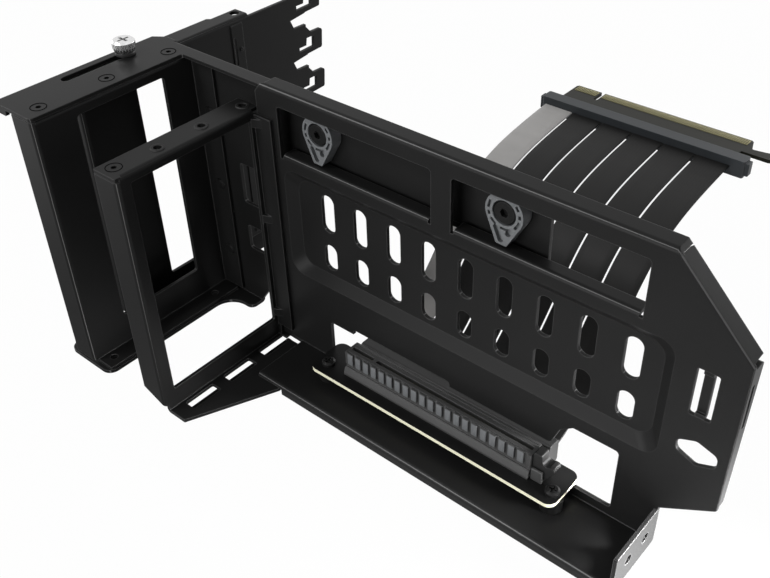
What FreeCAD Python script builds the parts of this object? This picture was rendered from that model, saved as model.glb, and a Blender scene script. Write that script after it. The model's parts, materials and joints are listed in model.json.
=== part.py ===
import FreeCAD, Part
import Sketcher
import math
import os
import re

# Vertical mount for a graphics card, in millimetres.
# X runs along the side plate, Y away from the card's near side, Z up.
# The origin is the middle of the case screw holes on the outer face of the case bracket's tab.

SIZES = {
    # Sheet metal
    "wall": 1.5,
    "bend": 0.3,
    "corner": 1.5,
    "gap": 0.3,
    # Case bracket
    "slot_pitch": 20.32,
    "slot_count": 5,
    "case_face": 6.5,
    "case_above": 7.2,
    "case_below": 21.5,
    "case_reach": 122.8,
    "case_flange": 9.8,
    "case_flange_end": 89.0,
    "tab_depth": 13.0,
    "flange_hole_x": 1.3,
    "strip_y": 78.2,
    "strip_width": 6.4,
    "tab_hole_radius": 2.2,
    "port_left": 26.7,
    "port_right": 64.0,
    "port_low": -55.1,
    "port_high": 37.4,
    "hook_reach": 10.4,
    "hook_height": 9.3,
    "hook_drop": 2.8,
    "hook_slot": 4.6,
    # Thumbscrew and its nut
    "knob_x": 1.6,
    "knob_y": 28.0,
    "knob_radius": 4.6,
    "knob_height": 5.0,
    "shank_radius": 1.7,
    "thread_gap": 0.3,
    "nut_height": 4.5,
    "collar_radius": 4.0,
    "collar_height": 1.0,
    "travel": 27.6,
    # Carriage
    "deck_back": -3.8,
    "deck_front": 19.2,
    "side_y": -27.4,
    "arm_face": 47.5,
    "arm_start": 7.5,
    "arm_end": 188.5,
    "arm_flange": 6.9,
    "beam_low": 22.1,
    "beam_foot_x": 81.5,
    "post_front": 55.5,
    "post_high": -19.0,
    "post_low": -47.0,
    "base_top": -65.7,
    "base_back": 0.5,
    "base_front": 28.5,
    "toe_x": 42.5,
    "toe_y": 40.8,
    "window_left": -9.0,
    "window_right": 31.5,
    "window_low": -50.5,
    "window_high": 43.6,
    "frame_lap": 11.7,
    "frame_toe": 28.0,
    "frame_side": 12.3,
    "arm_lap": 11.8,
    "deck_screw_x": 13.2,
    "deck_screw_y": -19.7,
    "deck_screw_pitch": 29.85,
    "deck_screw_radius": 1.5,
    "deck_head_radius": 2.9,
    "base_hole_x": 23.0,
    "base_hole_y": -20.5,
    "base_hole_pitch": 56.5,
    "base_hole_radius": 1.6,
    "rivet_radius": 1.6,
    "rivet_x": 26.2,
    "rivet_z": 24.5,
    "rivet_pitch": 34.0,
    # Cams
    "cam_x": 91.3,
    "cam_pitch": 82.6,
    "cam_z": 37.7,
    "cam_radius": 7.4,
    "cam_reach": 12.5,
    "cam_tip": 4.8,
    "cam_thick": 5.0,
    "cam_screw_radius": 2.0,
    "cam_head_radius": 4.2,
    "cam_head_height": 3.0,
    "cam_pocket": 1.2,
    "cam_nut_height": 3.2,
    "cam_nut_flats": 7.0,
    # Side plate
    "plate_y": 40.0,
    "plate_left": 62.4,
    "plate_flange": 7.3,
    "flange_start": 66.1,
    "slant_x": 233.3,
    "tip_x": 262.1,
    "tip_high": 22.4,
    "tip_low": -38.6,
    "tip_deep_low": 4.5,
    "heel_x": 243.5,
    "heel_high": -50.6,
    "relief": 1.2,
    "ledge_top": -67.6,
    "ledge_front": 13.3,
    "ledge_left": 75.0,
    "lip_low": -72.0,
    "lip_start": 88.5,
    "wall_high": -52.1,
    "wall_hole_y": 27.6,
    "wall_hole_pitch": 11.4,
    "wall_hole_z": -60.0,
    "wall_hole_radius": 2.0,
    "cam_window_left": 73.2,
    "cam_window_width": 72.5,
    "cam_window_pitch": 81.0,
    "cam_window_low": 24.6,
    "cam_window_high": 44.5,
    "cam_lip": 5.9,
    "panel_left": 73.8,
    "panel_right": 239.0,
    "panel_low": -29.5,
    "panel_high": 18.9,
    "panel_bevel": 4.2,
    "panel_deep": 3.2,
    "vent_left": 90.0,
    "vent_pitch": 16.4,
    "vent_count": 9,
    "vent_width": 6.4,
    "vent_low": -5.0,
    "vent_high": 12.0,
    "vent_foot": -23.0,
    "vent_head": -11.0,
    "cable_left": 93.5,
    "cable_right": 226.5,
    "cable_low": -63.5,
    "cable_high": -47.8,
    "cable_rise_x": 208.6,
    "cable_rise": -35.4,
    "notch_left": 106.0,
    "notch_right": 155.0,
    "notch_high": 2.4,
    "strap_left": 246.2,
    "strap_right": 253.5,
    "strap_low": -4.4,
    "strap_high": 14.3,
    "strap_wide": 3.2,
    "strap_deep": 1.2,
    "hex_left": 244.6,
    "hex_right": 258.4,
    "hex_low": -24.1,
    "hex_high": -13.9,
    # Card frame
    "card_face": 62.1,
    "card_back": 50.0,
    "card_left": -25.3,
    "card_top": 40.1,
    "card_open_left": -19.4,
    "card_open_right": 36.6,
    "card_open_low": -60.2,
    "card_open_high": 36.3,
    "card_lap": 8.4,
    "card_side_low": -62.0,
    "foot_corner_x": 87.4,
    "foot_corner_y": 13.1,
    "foot_tip_x": 70.3,
    "foot_tip_y": -24.8,
    "foot_slot_x": 63.7,
    "foot_slot_wide": 5.4,
    "foot_slot_y": -16.7,
    "foot_slot_long": 14.5,
    "foot_bar": 2.0,
    "card_hole_x": 56.2,
    "card_hole_y": -2.2,
    "card_hole_radius": 1.6,
    "card_rim": 0.3,
    "corner_x": 54.9,
    "corner_y": -20.2,
    "gusset": 3.6,
    # Riser
    "board_top": -60.5,
    "board_thick": 1.6,
    "board_left": 94.4,
    "board_tail": 13.8,
    "board_front": 24.7,
    "board_back": 44.1,
    "board_hole_x": 99.9,
    "board_hole_end": 10.3,
    "board_hole_y": 30.7,
    "board_screw_radius": 1.4,
    "board_head_radius": 2.8,
    "standoff_radius": 4.2,
    "socket_left": 109.1,
    "socket_long": 89.0,
    "socket_y": 34.85,
    "socket_wide": 7.5,
    "socket_high": 11.2,
    "socket_gap": 1.8,
    "socket_deep": 8.5,
    "socket_key": 12.2,
    "pad_count": 21,
    "latch_long": 9.0,
    "latch_wide": 4.6,
    "latch_pin": 1.2,
    # Cable and plug
    "strip_left": 109.5,
    "strip_pitch": 14.83,
    "strip_wide": 13.6,
    "strip_thick": 0.9,
    "clamp_deep": 6.2,
    "clamp_foot": 3.5,
    "clamp_high": 11.3,
    "plug_left": 107.5,
    "plug_right": 203.5,
    "plug_deep": 6.0,
    "plug_high": 7.5,
    "edge_left": 111.5,
    "edge_right": 196.5,
    "edge_deep": 21.0,
    "edge_thick": 1.6,
    "finger_long": 5.6,
    "finger_thick": 0.2,
    "finger_short": 11.65,
    "finger_run": 71.65,
    "key_wide": 1.9,
}

doc = FreeCAD.newDocument("vertical_mount")
sheet = doc.addObject("Spreadsheet::Sheet", "Sizes")
for row_number, (alias, number) in enumerate(SIZES.items(), start=1):
    sheet.set("A%d" % row_number, alias)
    sheet.set("B%d" % row_number, str(number))
    sheet.setAlias("B%d" % row_number, alias)
doc.recompute()

NAMES = re.compile(r"\b(" + "|".join(SIZES) + r")\b")

# Heights and faces that several pieces share
CASE_TOP = "(slot_pitch * (slot_count - 1) / 2 + case_above)"
CASE_LOW = "(-slot_pitch * (slot_count - 1) / 2 - case_below)"
HOOK_TOP = "(slot_pitch * (slot_count - 1) / 2)"
DECK_LOW = "(%s + gap)" % CASE_TOP
DECK_TOP = "(%s + wall)" % DECK_LOW
PLATE_TOP = "(%s + gap + wall)" % DECK_TOP
ARM_BACK = "(arm_face + wall)"
OUTSIDE = "(bend + wall)"
LEDGE_LOW = "(ledge_top - wall)"
FOOT_TOP = LEDGE_LOW
BOARD_LOW = "(board_top - board_thick)"
SOCKET_END = "(socket_left + socket_long)"
HOLE_PITCH = "(%s + board_hole_end - board_hole_x)" % SOCKET_END

nodes = []


def bound(text):
    """Point every size named in an expression at the sheet."""
    return NAMES.sub(r"Sizes.\1", text)


def value(text):
    """The number that an expression comes to now."""
    return float(sheet.evalExpression(bound(text)))


def vector(point):
    return FreeCAD.Vector(point[0], point[1], 0)


def pin_radius(sketch, geometry, text):
    index = sketch.addConstraint(Sketcher.Constraint("Radius", geometry, value(text)))
    sketch.setExpression("Constraints[%d]" % index, bound(text))


def pin_point(sketch, geometry, end, u, v):
    """Hold one point of a sketch at a place measured from the sketch's origin."""
    for kind, text in (("DistanceX", u), ("DistanceY", v)):
        constraint = Sketcher.Constraint(kind, -1, 1, geometry, end, value(text))
        index = sketch.addConstraint(constraint)
        sketch.setExpression("Constraints[%d]" % index, bound(text))


def direction(start, stop):
    along = (stop[0] - start[0], stop[1] - start[1])
    length = math.hypot(along[0], along[1])
    return along[0] / length, along[1] / length


def corner_arc(before, here, after, radius):
    """Centre, start and stop of the arc that rounds one corner, and whether it turns left."""
    back = direction(here, before)
    ahead = direction(here, after)
    half = math.acos(back[0] * ahead[0] + back[1] * ahead[1]) / 2
    reach = radius / math.tan(half)
    start = (here[0] + back[0] * reach, here[1] + back[1] * reach)
    stop = (here[0] + ahead[0] * reach, here[1] + ahead[1] * reach)
    middle = direction((0, 0), (back[0] + ahead[0], back[1] + ahead[1]))
    deep = radius / math.sin(half)
    centre = (here[0] + middle[0] * deep, here[1] + middle[1] * deep)
    left = back[1] * ahead[0] - back[0] * ahead[1] > 0
    return centre, start, stop, left


def draw_outline(sketch, points):
    """Closed outline through corners (u, v) or (u, v, radius)."""
    corners = [(value(point[0]), value(point[1])) for point in points]
    count = len(points)
    arcs = []
    for i in range(count):
        arc = None
        if len(points[i]) > 2:
            radius = value(points[i][2])
            arc = corner_arc(corners[i - 1], corners[i], corners[(i + 1) % count], radius)
        arcs.append(arc)
    lines = []
    for i in range(count):
        j = (i + 1) % count
        start = arcs[i][2] if arcs[i] else corners[i]
        stop = arcs[j][1] if arcs[j] else corners[j]
        lines.append(sketch.addGeometry(Part.LineSegment(vector(start), vector(stop))))
    for i in range(count):
        before = lines[i - 1]
        after = lines[i]
        u, v = points[i][:2]
        if arcs[i] is None:
            sketch.addConstraint(Sketcher.Constraint("Coincident", before, 2, after, 1))
            pin_point(sketch, after, 1, u, v)
            continue
        centre, start, stop, left = arcs[i]
        first, last = (start, stop) if left else (stop, start)
        circle = Part.Circle(vector(centre), FreeCAD.Vector(0, 0, 1), value(points[i][2]))
        begin = math.atan2(first[1] - centre[1], first[0] - centre[0])
        finish = math.atan2(last[1] - centre[1], last[0] - centre[0])
        arc = sketch.addGeometry(Part.ArcOfCircle(circle, begin, finish))
        sketch.addConstraint(Sketcher.Constraint("Tangent", before, 2, arc, 1 if left else 2))
        sketch.addConstraint(Sketcher.Constraint("Tangent", arc, 2 if left else 1, after, 1))
        pin_radius(sketch, arc, points[i][2])
        corner = sketch.addGeometry(Part.Point(vector(corners[i])), True)
        sketch.addConstraint(Sketcher.Constraint("PointOnObject", corner, 1, before))
        sketch.addConstraint(Sketcher.Constraint("PointOnObject", corner, 1, after))
        pin_point(sketch, corner, 1, u, v)


def draw(sketch, wire):
    """A list is an outline; a tuple (u, v, radius) is a circle."""
    if isinstance(wire, list):
        draw_outline(sketch, wire)
        return
    u, v, radius = wire
    centre = vector((value(u), value(v)))
    circle = Part.Circle(centre, FreeCAD.Vector(0, 0, 1), value(radius))
    geometry = sketch.addGeometry(circle)
    pin_point(sketch, geometry, 3, u, v)
    pin_radius(sketch, geometry, radius)


def origin_part(body, role):
    return next(f for f in body.Origin.OriginFeatures if f.Role == role)


def sketch_at(body, name, role, offset, wires):
    sketch = body.newObject("Sketcher::SketchObject", name)
    sketch.AttachmentSupport = [(origin_part(body, role), "")]
    sketch.MapMode = "FlatFace"
    sketch.setExpression("AttachmentOffset.Base.z", bound(offset))
    for wire in wires:
        draw(sketch, wire)
    return sketch


def layer(body, kind, name, role, low, high, wires):
    """Sketch on a plane, carried from low to high along the plane's axis."""
    start = "-(%s)" % high if role == "XZ_Plane" else low
    sketch = sketch_at(body, name + "_sketch", role, start, wires)
    feature = body.newObject(kind, name)
    feature.Profile = sketch
    feature.setExpression("Length", bound("(%s) - (%s)" % (high, low)))
    return feature


def solid(body, name, role, low, high, *wires):
    feature = layer(body, "PartDesign::Pad", name, role, low, high, wires)
    doc.recompute()
    return feature


def cut(body, name, role, low, high, *wires):
    """Pocket from low to high that has to take something away."""
    before = body.Shape.Volume
    feature = layer(body, "PartDesign::Pocket", name, role, low, high, wires)
    feature.Reversed = True
    doc.recompute()
    if not body.Shape.Volume < before - 1e-6:
        raise RuntimeError("%s cuts nothing" % name)
    return feature


def loft(body, kind, name, role, first, first_wire, second, second_wire):
    """Loft between two outlines laid at two offsets of one plane."""
    feature_sketch = sketch_at(body, name + "_first", role, first, [first_wire])
    other_sketch = sketch_at(body, name + "_second", role, second, [second_wire])
    feature = body.newObject(kind, name)
    feature.Profile = feature_sketch
    feature.Sections = [other_sketch]
    doc.recompute()
    return feature


def turned(body, name, points):
    """Solid turned about the body's Z axis from a half outline (radius, height)."""
    sketch = sketch_at(body, name + "_sketch", "XZ_Plane", "0", [points])
    feature = body.newObject("PartDesign::Revolution", name)
    feature.Profile = sketch
    feature.ReferenceAxis = (sketch, ["V_Axis"])
    doc.recompute()
    return feature


def row(body, name, features, role, length, count):
    """Repeat features along an axis over a whole length."""
    pattern = body.newObject("PartDesign::LinearPattern", name)
    pattern.Originals = features
    pattern.Direction = (origin_part(body, role), [""])
    pattern.setExpression("Length", bound(length))
    pattern.setExpression("Occurrences", bound(count))
    body.Tip = pattern
    doc.recompute()
    return pattern


def ring(body, name, features, count):
    """Repeat features round the body's Z axis."""
    pattern = body.newObject("PartDesign::PolarPattern", name)
    pattern.Originals = features
    pattern.Axis = (origin_part(body, "Z_Axis"), [""])
    pattern.Angle = 360
    pattern.Occurrences = count
    body.Tip = pattern
    doc.recompute()
    return pattern


def round_edges(body, name, radius, chosen):
    """Fillet the edges whose two ends both pass the test."""
    names = []
    for number, edge in enumerate(body.Shape.Edges, start=1):
        ends = [vertex.Point for vertex in edge.Vertexes]
        if len(ends) == 2 and all(chosen(end) for end in ends):
            names.append("Edge%d" % number)
    if not names:
        raise RuntimeError("%s finds no edge" % name)
    base = body.Tip
    fillet = body.newObject("PartDesign::Fillet", name)
    fillet.Base = (base, names)
    fillet.setExpression("Radius", bound(radius))
    doc.recompute()
    if "Invalid" in fillet.State:
        raise RuntimeError("%s does not hold on %s" % (name, names))
    return fillet


def piece(name, x="0", y="0", z="0", turn_x=0):
    """A named body, moved to its place by expressions."""
    body = doc.addObject("PartDesign::Body", name)
    body.Label = name
    body.Placement.Rotation = FreeCAD.Rotation(FreeCAD.Vector(1, 0, 0), turn_x)
    for axis, text in (("x", x), ("y", y), ("z", z)):
        body.setExpression("Placement.Base." + axis, bound(text))
    nodes.append(body)
    return body


def box(u_low, u_high, v_low, v_high, radius=None):
    corners = [(u_low, v_low), (u_high, v_low), (u_high, v_high), (u_low, v_high)]
    if radius is None:
        return corners
    return [corner + (radius,) for corner in corners]


def stadium(u_low, u_high, v_low, v_high, width):
    """Box with ends that are almost half round."""
    return box(u_low, u_high, v_low, v_high, "(%s) * 0.49" % width)


def hexagon(flats, u="0", v="0"):
    """Six corners round a centre, for a distance across flats."""
    corners = []
    for step in range(6):
        angle = math.radians(60 * step)
        across = "(%s) / sqrt(3)" % flats
        corners.append(("%s + %s * %.6f" % (u, across, math.cos(angle)),
                        "%s + %s * %.6f" % (v, across, math.sin(angle))))
    return corners


def folded(u_far, v_far, u_corner, v_corner, u_inside, v_inside):
    """Outline of a sheet folded once; the inside values are one wall in from the outside faces."""
    return [
        (u_corner, v_far),
        (u_corner, v_corner, OUTSIDE),
        (u_far, v_corner),
        (u_far, v_inside),
        (u_inside, v_inside, "bend"),
        (u_inside, v_far),
    ]


# Case bracket
case = piece("case_bracket")
CASE_BACK = "(case_face - wall)"
CASE_FLANGE = "(case_face - case_flange)"
START = "(%s + relief)" % OUTSIDE
solid(case, "case_plate", "XZ_Plane", START, "case_flange_end", folded(
    CASE_FLANGE, CASE_LOW, "case_face", CASE_TOP, CASE_BACK, "%s - wall" % CASE_TOP))
solid(case, "case_end", "YZ_Plane", CASE_BACK, "case_face",
      box("case_flange_end - wall", "case_reach", CASE_LOW, CASE_TOP + " - relief"))
solid(case, "case_tab", "XY_Plane", CASE_LOW, "%s - wall - relief" % CASE_TOP, folded(
    "case_face - tab_depth", START + " + wall", "case_face", "0", CASE_BACK, "wall"))
cut(case, "case_tab_corner", "XZ_Plane", "-1", "wall + bend / 2",
    [("case_face - tab_depth - 1", CASE_TOP + " + 1"),
     ("case_face - tab_depth - 1", CASE_TOP + " - 8"),
     ("case_face - tab_depth / 2", CASE_TOP + " + 1")])
solid(case, "case_flange_start", "XY_Plane", CASE_TOP + " - wall", CASE_TOP,
      box(CASE_FLANGE, CASE_BACK + " - bend - relief", "0", START + " + 1"))
solid(case, "case_strip", "YZ_Plane", CASE_BACK + " + wall / 2", "case_face + 0.5",
      box("strip_y", "strip_y + strip_width", CASE_LOW + " + 2", CASE_TOP + " - 2 * relief", "0.4"))
cut(case, "case_strip_slit", "YZ_Plane", CASE_BACK + " - 1", "case_face + 1",
    box("strip_y + 0.8", "strip_y + 2", CASE_TOP + " - 21", CASE_TOP + " - 8", "0.5"))
solid(case, "case_strip_bump", "YZ_Plane", "case_face", "case_face + 1",
      ("strip_y + 0.7 * strip_width", CASE_TOP + " - 14", "0.9"))
cut(case, "case_port", "YZ_Plane", CASE_BACK + " - 1", "case_face + 1",
    box("port_left", "port_right", "port_low", "port_high", "corner"))
cut(case, "case_holes", "XZ_Plane", "-1", "wall + 1",
    ("0", HOOK_TOP, "tab_hole_radius"), ("0", HOOK_TOP + " - slot_pitch", "tab_hole_radius"),
    ("0", "-" + HOOK_TOP, "tab_hole_radius"), ("0", "slot_pitch - " + HOOK_TOP, "tab_hole_radius"))
cut(case, "case_nut_hole", "XY_Plane", CASE_TOP + " - 2 * wall", CASE_TOP + " + 1",
    ("knob_x", "knob_y", "shank_radius + thread_gap"))
cut(case, "case_flange_hole", "XY_Plane", CASE_TOP + " - 2 * wall", CASE_TOP + " + 1",
    ("flange_hole_x", "case_flange_end - 3.4", "tab_hole_radius"))
cut(case, "case_flange_step", "XY_Plane", CASE_TOP + " - 2 * wall", CASE_TOP + " + 1",
    [(CASE_FLANGE + " - 1", "case_flange_end - 16"), (CASE_FLANGE + " + 1.5", "case_flange_end - 14"),
     (CASE_FLANGE + " + 1.5", "case_flange_end + 1"), (CASE_FLANGE + " - 1", "case_flange_end + 1")])
HOOK_LOW = "(-%s)" % HOOK_TOP
hook = solid(case, "hook", "YZ_Plane", CASE_BACK, "case_face", [
    ("case_reach - 1", HOOK_LOW + " - hook_drop - 0.4"),
    ("case_reach + hook_reach - 0.8", HOOK_LOW + " - hook_drop", "corner * 0.6"),
    ("case_reach + hook_reach", HOOK_LOW + " - hook_drop + hook_height", "corner"),
    ("case_reach + 3", HOOK_LOW + " - hook_drop + hook_height + 0.2"),
    ("case_reach + 0.2", HOOK_LOW + " - hook_drop + hook_height + 3.4"),
    ("case_reach - 1", HOOK_LOW + " - hook_drop + hook_height + 3.4"),
])
hook_slot = cut(case, "hook_slot", "YZ_Plane", CASE_BACK + " - 1", "case_face + 1", [
    ("case_reach - 5", HOOK_LOW + " - 0.9"),
    ("case_reach + hook_slot - 0.4", HOOK_LOW + " - 0.7"),
    ("case_reach + hook_slot", HOOK_LOW + " + 4.5"),
    ("case_reach", HOOK_LOW + " + 4.6"),
    ("case_reach - 0.6", HOOK_LOW + " + 1.2"),
    ("case_reach - 5.1", HOOK_LOW + " + 1.3"),
])
hook_notch = cut(case, "hook_notch", "YZ_Plane", CASE_BACK + " - 1", "case_face + 1", [
    ("case_reach - 7.4", HOOK_LOW + " - hook_drop - 6"),
    ("case_reach + 0.2", HOOK_LOW + " - hook_drop - 6.2"),
    ("case_reach + 0.2", HOOK_LOW + " - hook_drop - 0.6"),
    ("case_reach - 9.4", HOOK_LOW + " - hook_drop - 1.6"),
])
row(case, "hooks", [hook, hook_slot, hook_notch], "Z_Axis", "slot_pitch * (slot_count - 1)", "slot_count")

nut = piece("case_nut", "knob_x", "knob_y", CASE_TOP + " - wall")
NUT_RADIUS = "(%s - bend - knob_x)" % CASE_BACK
turned(nut, "nut_body", [
    ("shank_radius + thread_gap", "-nut_height"), (NUT_RADIUS + " - 0.4", "-nut_height"),
    (NUT_RADIUS, "-nut_height + 0.4"), (NUT_RADIUS, "0"), ("shank_radius + thread_gap", "0")])

# Thumbscrew
SEAT = "(%s + gap)" % DECK_TOP
knob = piece("thumbscrew", "knob_x", "knob_y", SEAT)
SHANK_LOW = "-(gap + wall + gap + wall + nut_height + 0.8)"
turned(knob, "knob_body", [
    ("0", SHANK_LOW), ("shank_radius - 0.4", SHANK_LOW), ("shank_radius", SHANK_LOW + " + 0.4"),
    ("shank_radius", "collar_height"), ("knob_radius - 0.9", "collar_height"),
    ("knob_radius - 0.5", "collar_height + 0.6"), ("knob_radius", "knob_height * 0.62"),
    ("knob_radius", "collar_height + knob_height - 0.7"),
    ("knob_radius - 0.7", "collar_height + knob_height"), ("0", "collar_height + knob_height")])
cut(knob, "knob_cross", "XY_Plane", "collar_height + knob_height - 1.6", "collar_height + knob_height + 1",
    box("-2.6", "2.6", "-0.55", "0.55"))
cut(knob, "knob_cross_other", "XY_Plane", "collar_height + knob_height - 1.6",
    "collar_height + knob_height + 1", box("-0.55", "0.55", "-2.6", "2.6"))
groove = cut(knob, "knob_groove", "XY_Plane", "collar_height + 0.8", "collar_height + knob_height - 0.9",
             [("knob_radius - 0.45", "0"), ("knob_radius + 0.5", "-0.62"), ("knob_radius + 0.5", "0.62")])
ring(knob, "knob_grooves", [groove], 24)
collar = piece("thumbscrew_collar", "knob_x", "knob_y", SEAT)
turned(collar, "collar_body", [
    ("shank_radius + 0.1", "0"), ("collar_radius", "0"), ("collar_radius", "collar_height"),
    ("shank_radius + 0.1", "collar_height")])

# Carriage: rear frame
frame = piece("rear_frame")
FRAME_BACK = "(deck_front - wall)"
LEFT_IN = "(side_y + %s)" % OUTSIDE
RIGHT_IN = "(arm_face - %s)" % OUTSIDE
solid(frame, "frame_face", "XZ_Plane", LEFT_IN, RIGHT_IN, [
    ("frame_toe", "base_top"), (FRAME_BACK, "base_top", OUTSIDE),
    (FRAME_BACK, DECK_LOW + " - wall", "bend"), ("deck_front - frame_lap", DECK_LOW + " - wall"),
    ("deck_front - frame_lap", DECK_LOW), ("deck_front", DECK_LOW, OUTSIDE),
    ("deck_front", "base_top + wall", "bend"), ("frame_toe", "base_top + wall")])
solid(frame, "frame_left", "XY_Plane", "base_top + wall", DECK_LOW + " - gap", folded(
    "deck_front - frame_side", LEFT_IN + " + 0.1", "deck_front", "side_y", FRAME_BACK, "side_y + wall"))
solid(frame, "frame_right", "XY_Plane", "base_top + wall + bend", DECK_LOW + " - wall - gap", folded(
    "deck_front + arm_lap", RIGHT_IN + " - wall", FRAME_BACK, "arm_face", "deck_front", "arm_face - wall"))
cut(frame, "frame_window", "YZ_Plane", FRAME_BACK + " - 1", "deck_front + 1",
    box("window_left", "window_right", "window_low", "window_high", "corner"))
frame_hole = cut(frame, "frame_hole", "XY_Plane", DECK_LOW + " - 2 * wall", DECK_LOW + " + 1",
                 ("deck_screw_x", "deck_screw_y", "deck_screw_radius"))
row(frame, "frame_holes", [frame_hole], "Y_Axis", "deck_screw_pitch * 2", "3")
foot_hole = cut(frame, "frame_foot_hole", "XY_Plane", "base_top - 1", "base_top + wall + 1",
                ("base_hole_x", "base_hole_y", "base_hole_radius"))
row(frame, "frame_foot_holes", [foot_hole], "Y_Axis", "base_hole_pitch", "2")
frame_rivet = cut(frame, "frame_rivet_hole", "XZ_Plane", "arm_face - wall - 1", "arm_face + 1",
                  ("rivet_x", "rivet_z - 2 * rivet_pitch", "rivet_radius"))
row(frame, "frame_rivet_holes", [frame_rivet], "Z_Axis", "rivet_pitch * 2", "3")

# Carriage: top plate, arm and base in one folded sheet
arm = piece("slide_arm")
FLANGE_FRONT = "(%s - arm_flange)" % ARM_BACK
BASE_LOW = "(base_top - wall)"
solid(arm, "arm_plate", "YZ_Plane", "arm_start", "arm_end", folded(
    FLANGE_FRONT, "base_top + bend", ARM_BACK, DECK_TOP, "arm_face", DECK_LOW))
cut(arm, "arm_shape", "XZ_Plane", "arm_face - 1", DECK_TOP + " + 1", [
    ("arm_end + 1", "base_top - 1"), ("arm_end + 1", "beam_low"), ("beam_foot_x", "beam_low", "corner * 4"),
    ("post_front", "post_high", "corner * 4"), ("post_front", "post_low", "corner * 4"),
    ("toe_x", "base_top + bend"), ("toe_x", "base_top - 1")])
solid(arm, "arm_foot", "YZ_Plane", "arm_start", "toe_x", folded(
    "arm_face - bend - 2", "base_top + bend + wall", ARM_BACK, BASE_LOW, "arm_face", "base_top"))
solid(arm, "deck", "XY_Plane", DECK_LOW, DECK_TOP, [
    ("deck_back", "side_y", "corner"), ("deck_front", "side_y", "corner"),
    ("deck_front", FLANGE_FRONT, "corner"), ("deck_front + 8", FLANGE_FRONT),
    ("deck_front + 8", "arm_face - bend"), ("arm_start", "arm_face - bend"),
    ("arm_start", ARM_BACK), ("deck_back + 5", ARM_BACK), ("deck_back", ARM_BACK + " - 3.5")])
solid(arm, "deck_lip", "XZ_Plane", "side_y", "side_y + wall",
      [("deck_back + 0.5", DECK_LOW + " + wall / 2"), ("deck_back + 0.5", DECK_LOW + " - 2.4", "0.6"),
       ("deck_back + 7", DECK_LOW + " - 2.4", "0.6"), ("deck_back + 7", DECK_LOW + " + wall / 2")])
solid(arm, "base", "XY_Plane", BASE_LOW, "base_top", [
    ("base_back", "side_y", "corner * 3"), ("base_front", "side_y", "corner * 3"),
    ("base_front", "toe_y", "corner * 6"), ("toe_x", "toe_y", "corner * 2"), ("toe_x", "arm_face - bend"),
    ("arm_start", "arm_face - bend"), ("base_back", "arm_face - bend - 6")])
cut(arm, "deck_slot", "XY_Plane", DECK_LOW + " - 1", DECK_TOP + " + 1",
    stadium("knob_x - shank_radius - gap - 0.1", "knob_x + shank_radius + gap + 0.1",
            "knob_y - travel - shank_radius - 2 * gap", "knob_y + shank_radius + 2 * gap",
            "2 * (shank_radius + gap + 0.1)"))
sink = loft(arm, "PartDesign::SubtractiveLoft", "deck_sink", "XY_Plane",
            DECK_LOW, ("deck_screw_x", "deck_screw_y", "deck_screw_radius"),
            DECK_TOP, ("deck_screw_x", "deck_screw_y", "deck_head_radius"))
row(arm, "deck_sinks", [sink], "Y_Axis", "deck_screw_pitch * 2", "3")
base_hole = cut(arm, "base_hole", "XY_Plane", BASE_LOW + " - 1", "base_top + 1",
                ("base_hole_x", "base_hole_y", "base_hole_radius"))
row(arm, "base_holes", [base_hole], "Y_Axis", "base_hole_pitch", "2")
arm_rivet = cut(arm, "arm_rivet_hole", "XZ_Plane", "arm_face - 1", ARM_BACK + " + 1",
                ("rivet_x", "rivet_z - 2 * rivet_pitch", "rivet_radius"))
row(arm, "arm_rivet_holes", [arm_rivet], "Z_Axis", "rivet_pitch * 2", "3")
cut(arm, "arm_windows", "XZ_Plane", "arm_face - 1", ARM_BACK + " + 1",
    box("post_front - 16.5", "post_front - 4", "beam_low - 36.2", "beam_low - 17.2", "corner"),
    box("post_front - 16.5", "post_front - 4", "beam_low - 60", "beam_low - 47.9", "corner"))
cam_hole = cut(arm, "cam_hole", "XZ_Plane", "arm_face - 1", ARM_BACK + " + 1",
               ("cam_x", "cam_z", "cam_screw_radius"))
row(arm, "cam_holes", [cam_hole], "X_Axis", "cam_pitch", "2")

screws = piece("frame_screws", "deck_screw_x", "deck_screw_y", DECK_TOP)
turned(screws, "frame_screw", [
    ("0", "-3.4 * wall"), ("deck_screw_radius - 0.3", "-3.4 * wall"),
    ("deck_screw_radius", "-3.4 * wall + 0.3"), ("deck_screw_radius", "-wall"),
    ("deck_head_radius", "0"), ("0", "0")])
screw_socket = cut(screws, "frame_screw_socket", "XY_Plane", "-0.9", "0.5", hexagon("2"))
row(screws, "frame_screw_row", [screws.Group[1], screw_socket], "Y_Axis", "deck_screw_pitch * 2", "3")

rivets = piece("arm_rivets", "rivet_x", "arm_face", "rivet_z - 2 * rivet_pitch", 90)
rivet = turned(rivets, "rivet", [
    ("0", "-wall - 0.8"), ("rivet_radius + 0.7", "-wall - 0.8"), ("rivet_radius + 1", "-wall"),
    ("rivet_radius", "-wall"), ("rivet_radius", "wall"), ("rivet_radius + 1", "wall"),
    ("rivet_radius + 0.6", "wall + 0.7"), ("0", "wall + 0.9")])
row(rivets, "rivet_row", [rivet], "Y_Axis", "rivet_pitch * 2", "3")

# Cams with their screws
CAM_BACK = "(arm_face - gap)"


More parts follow.
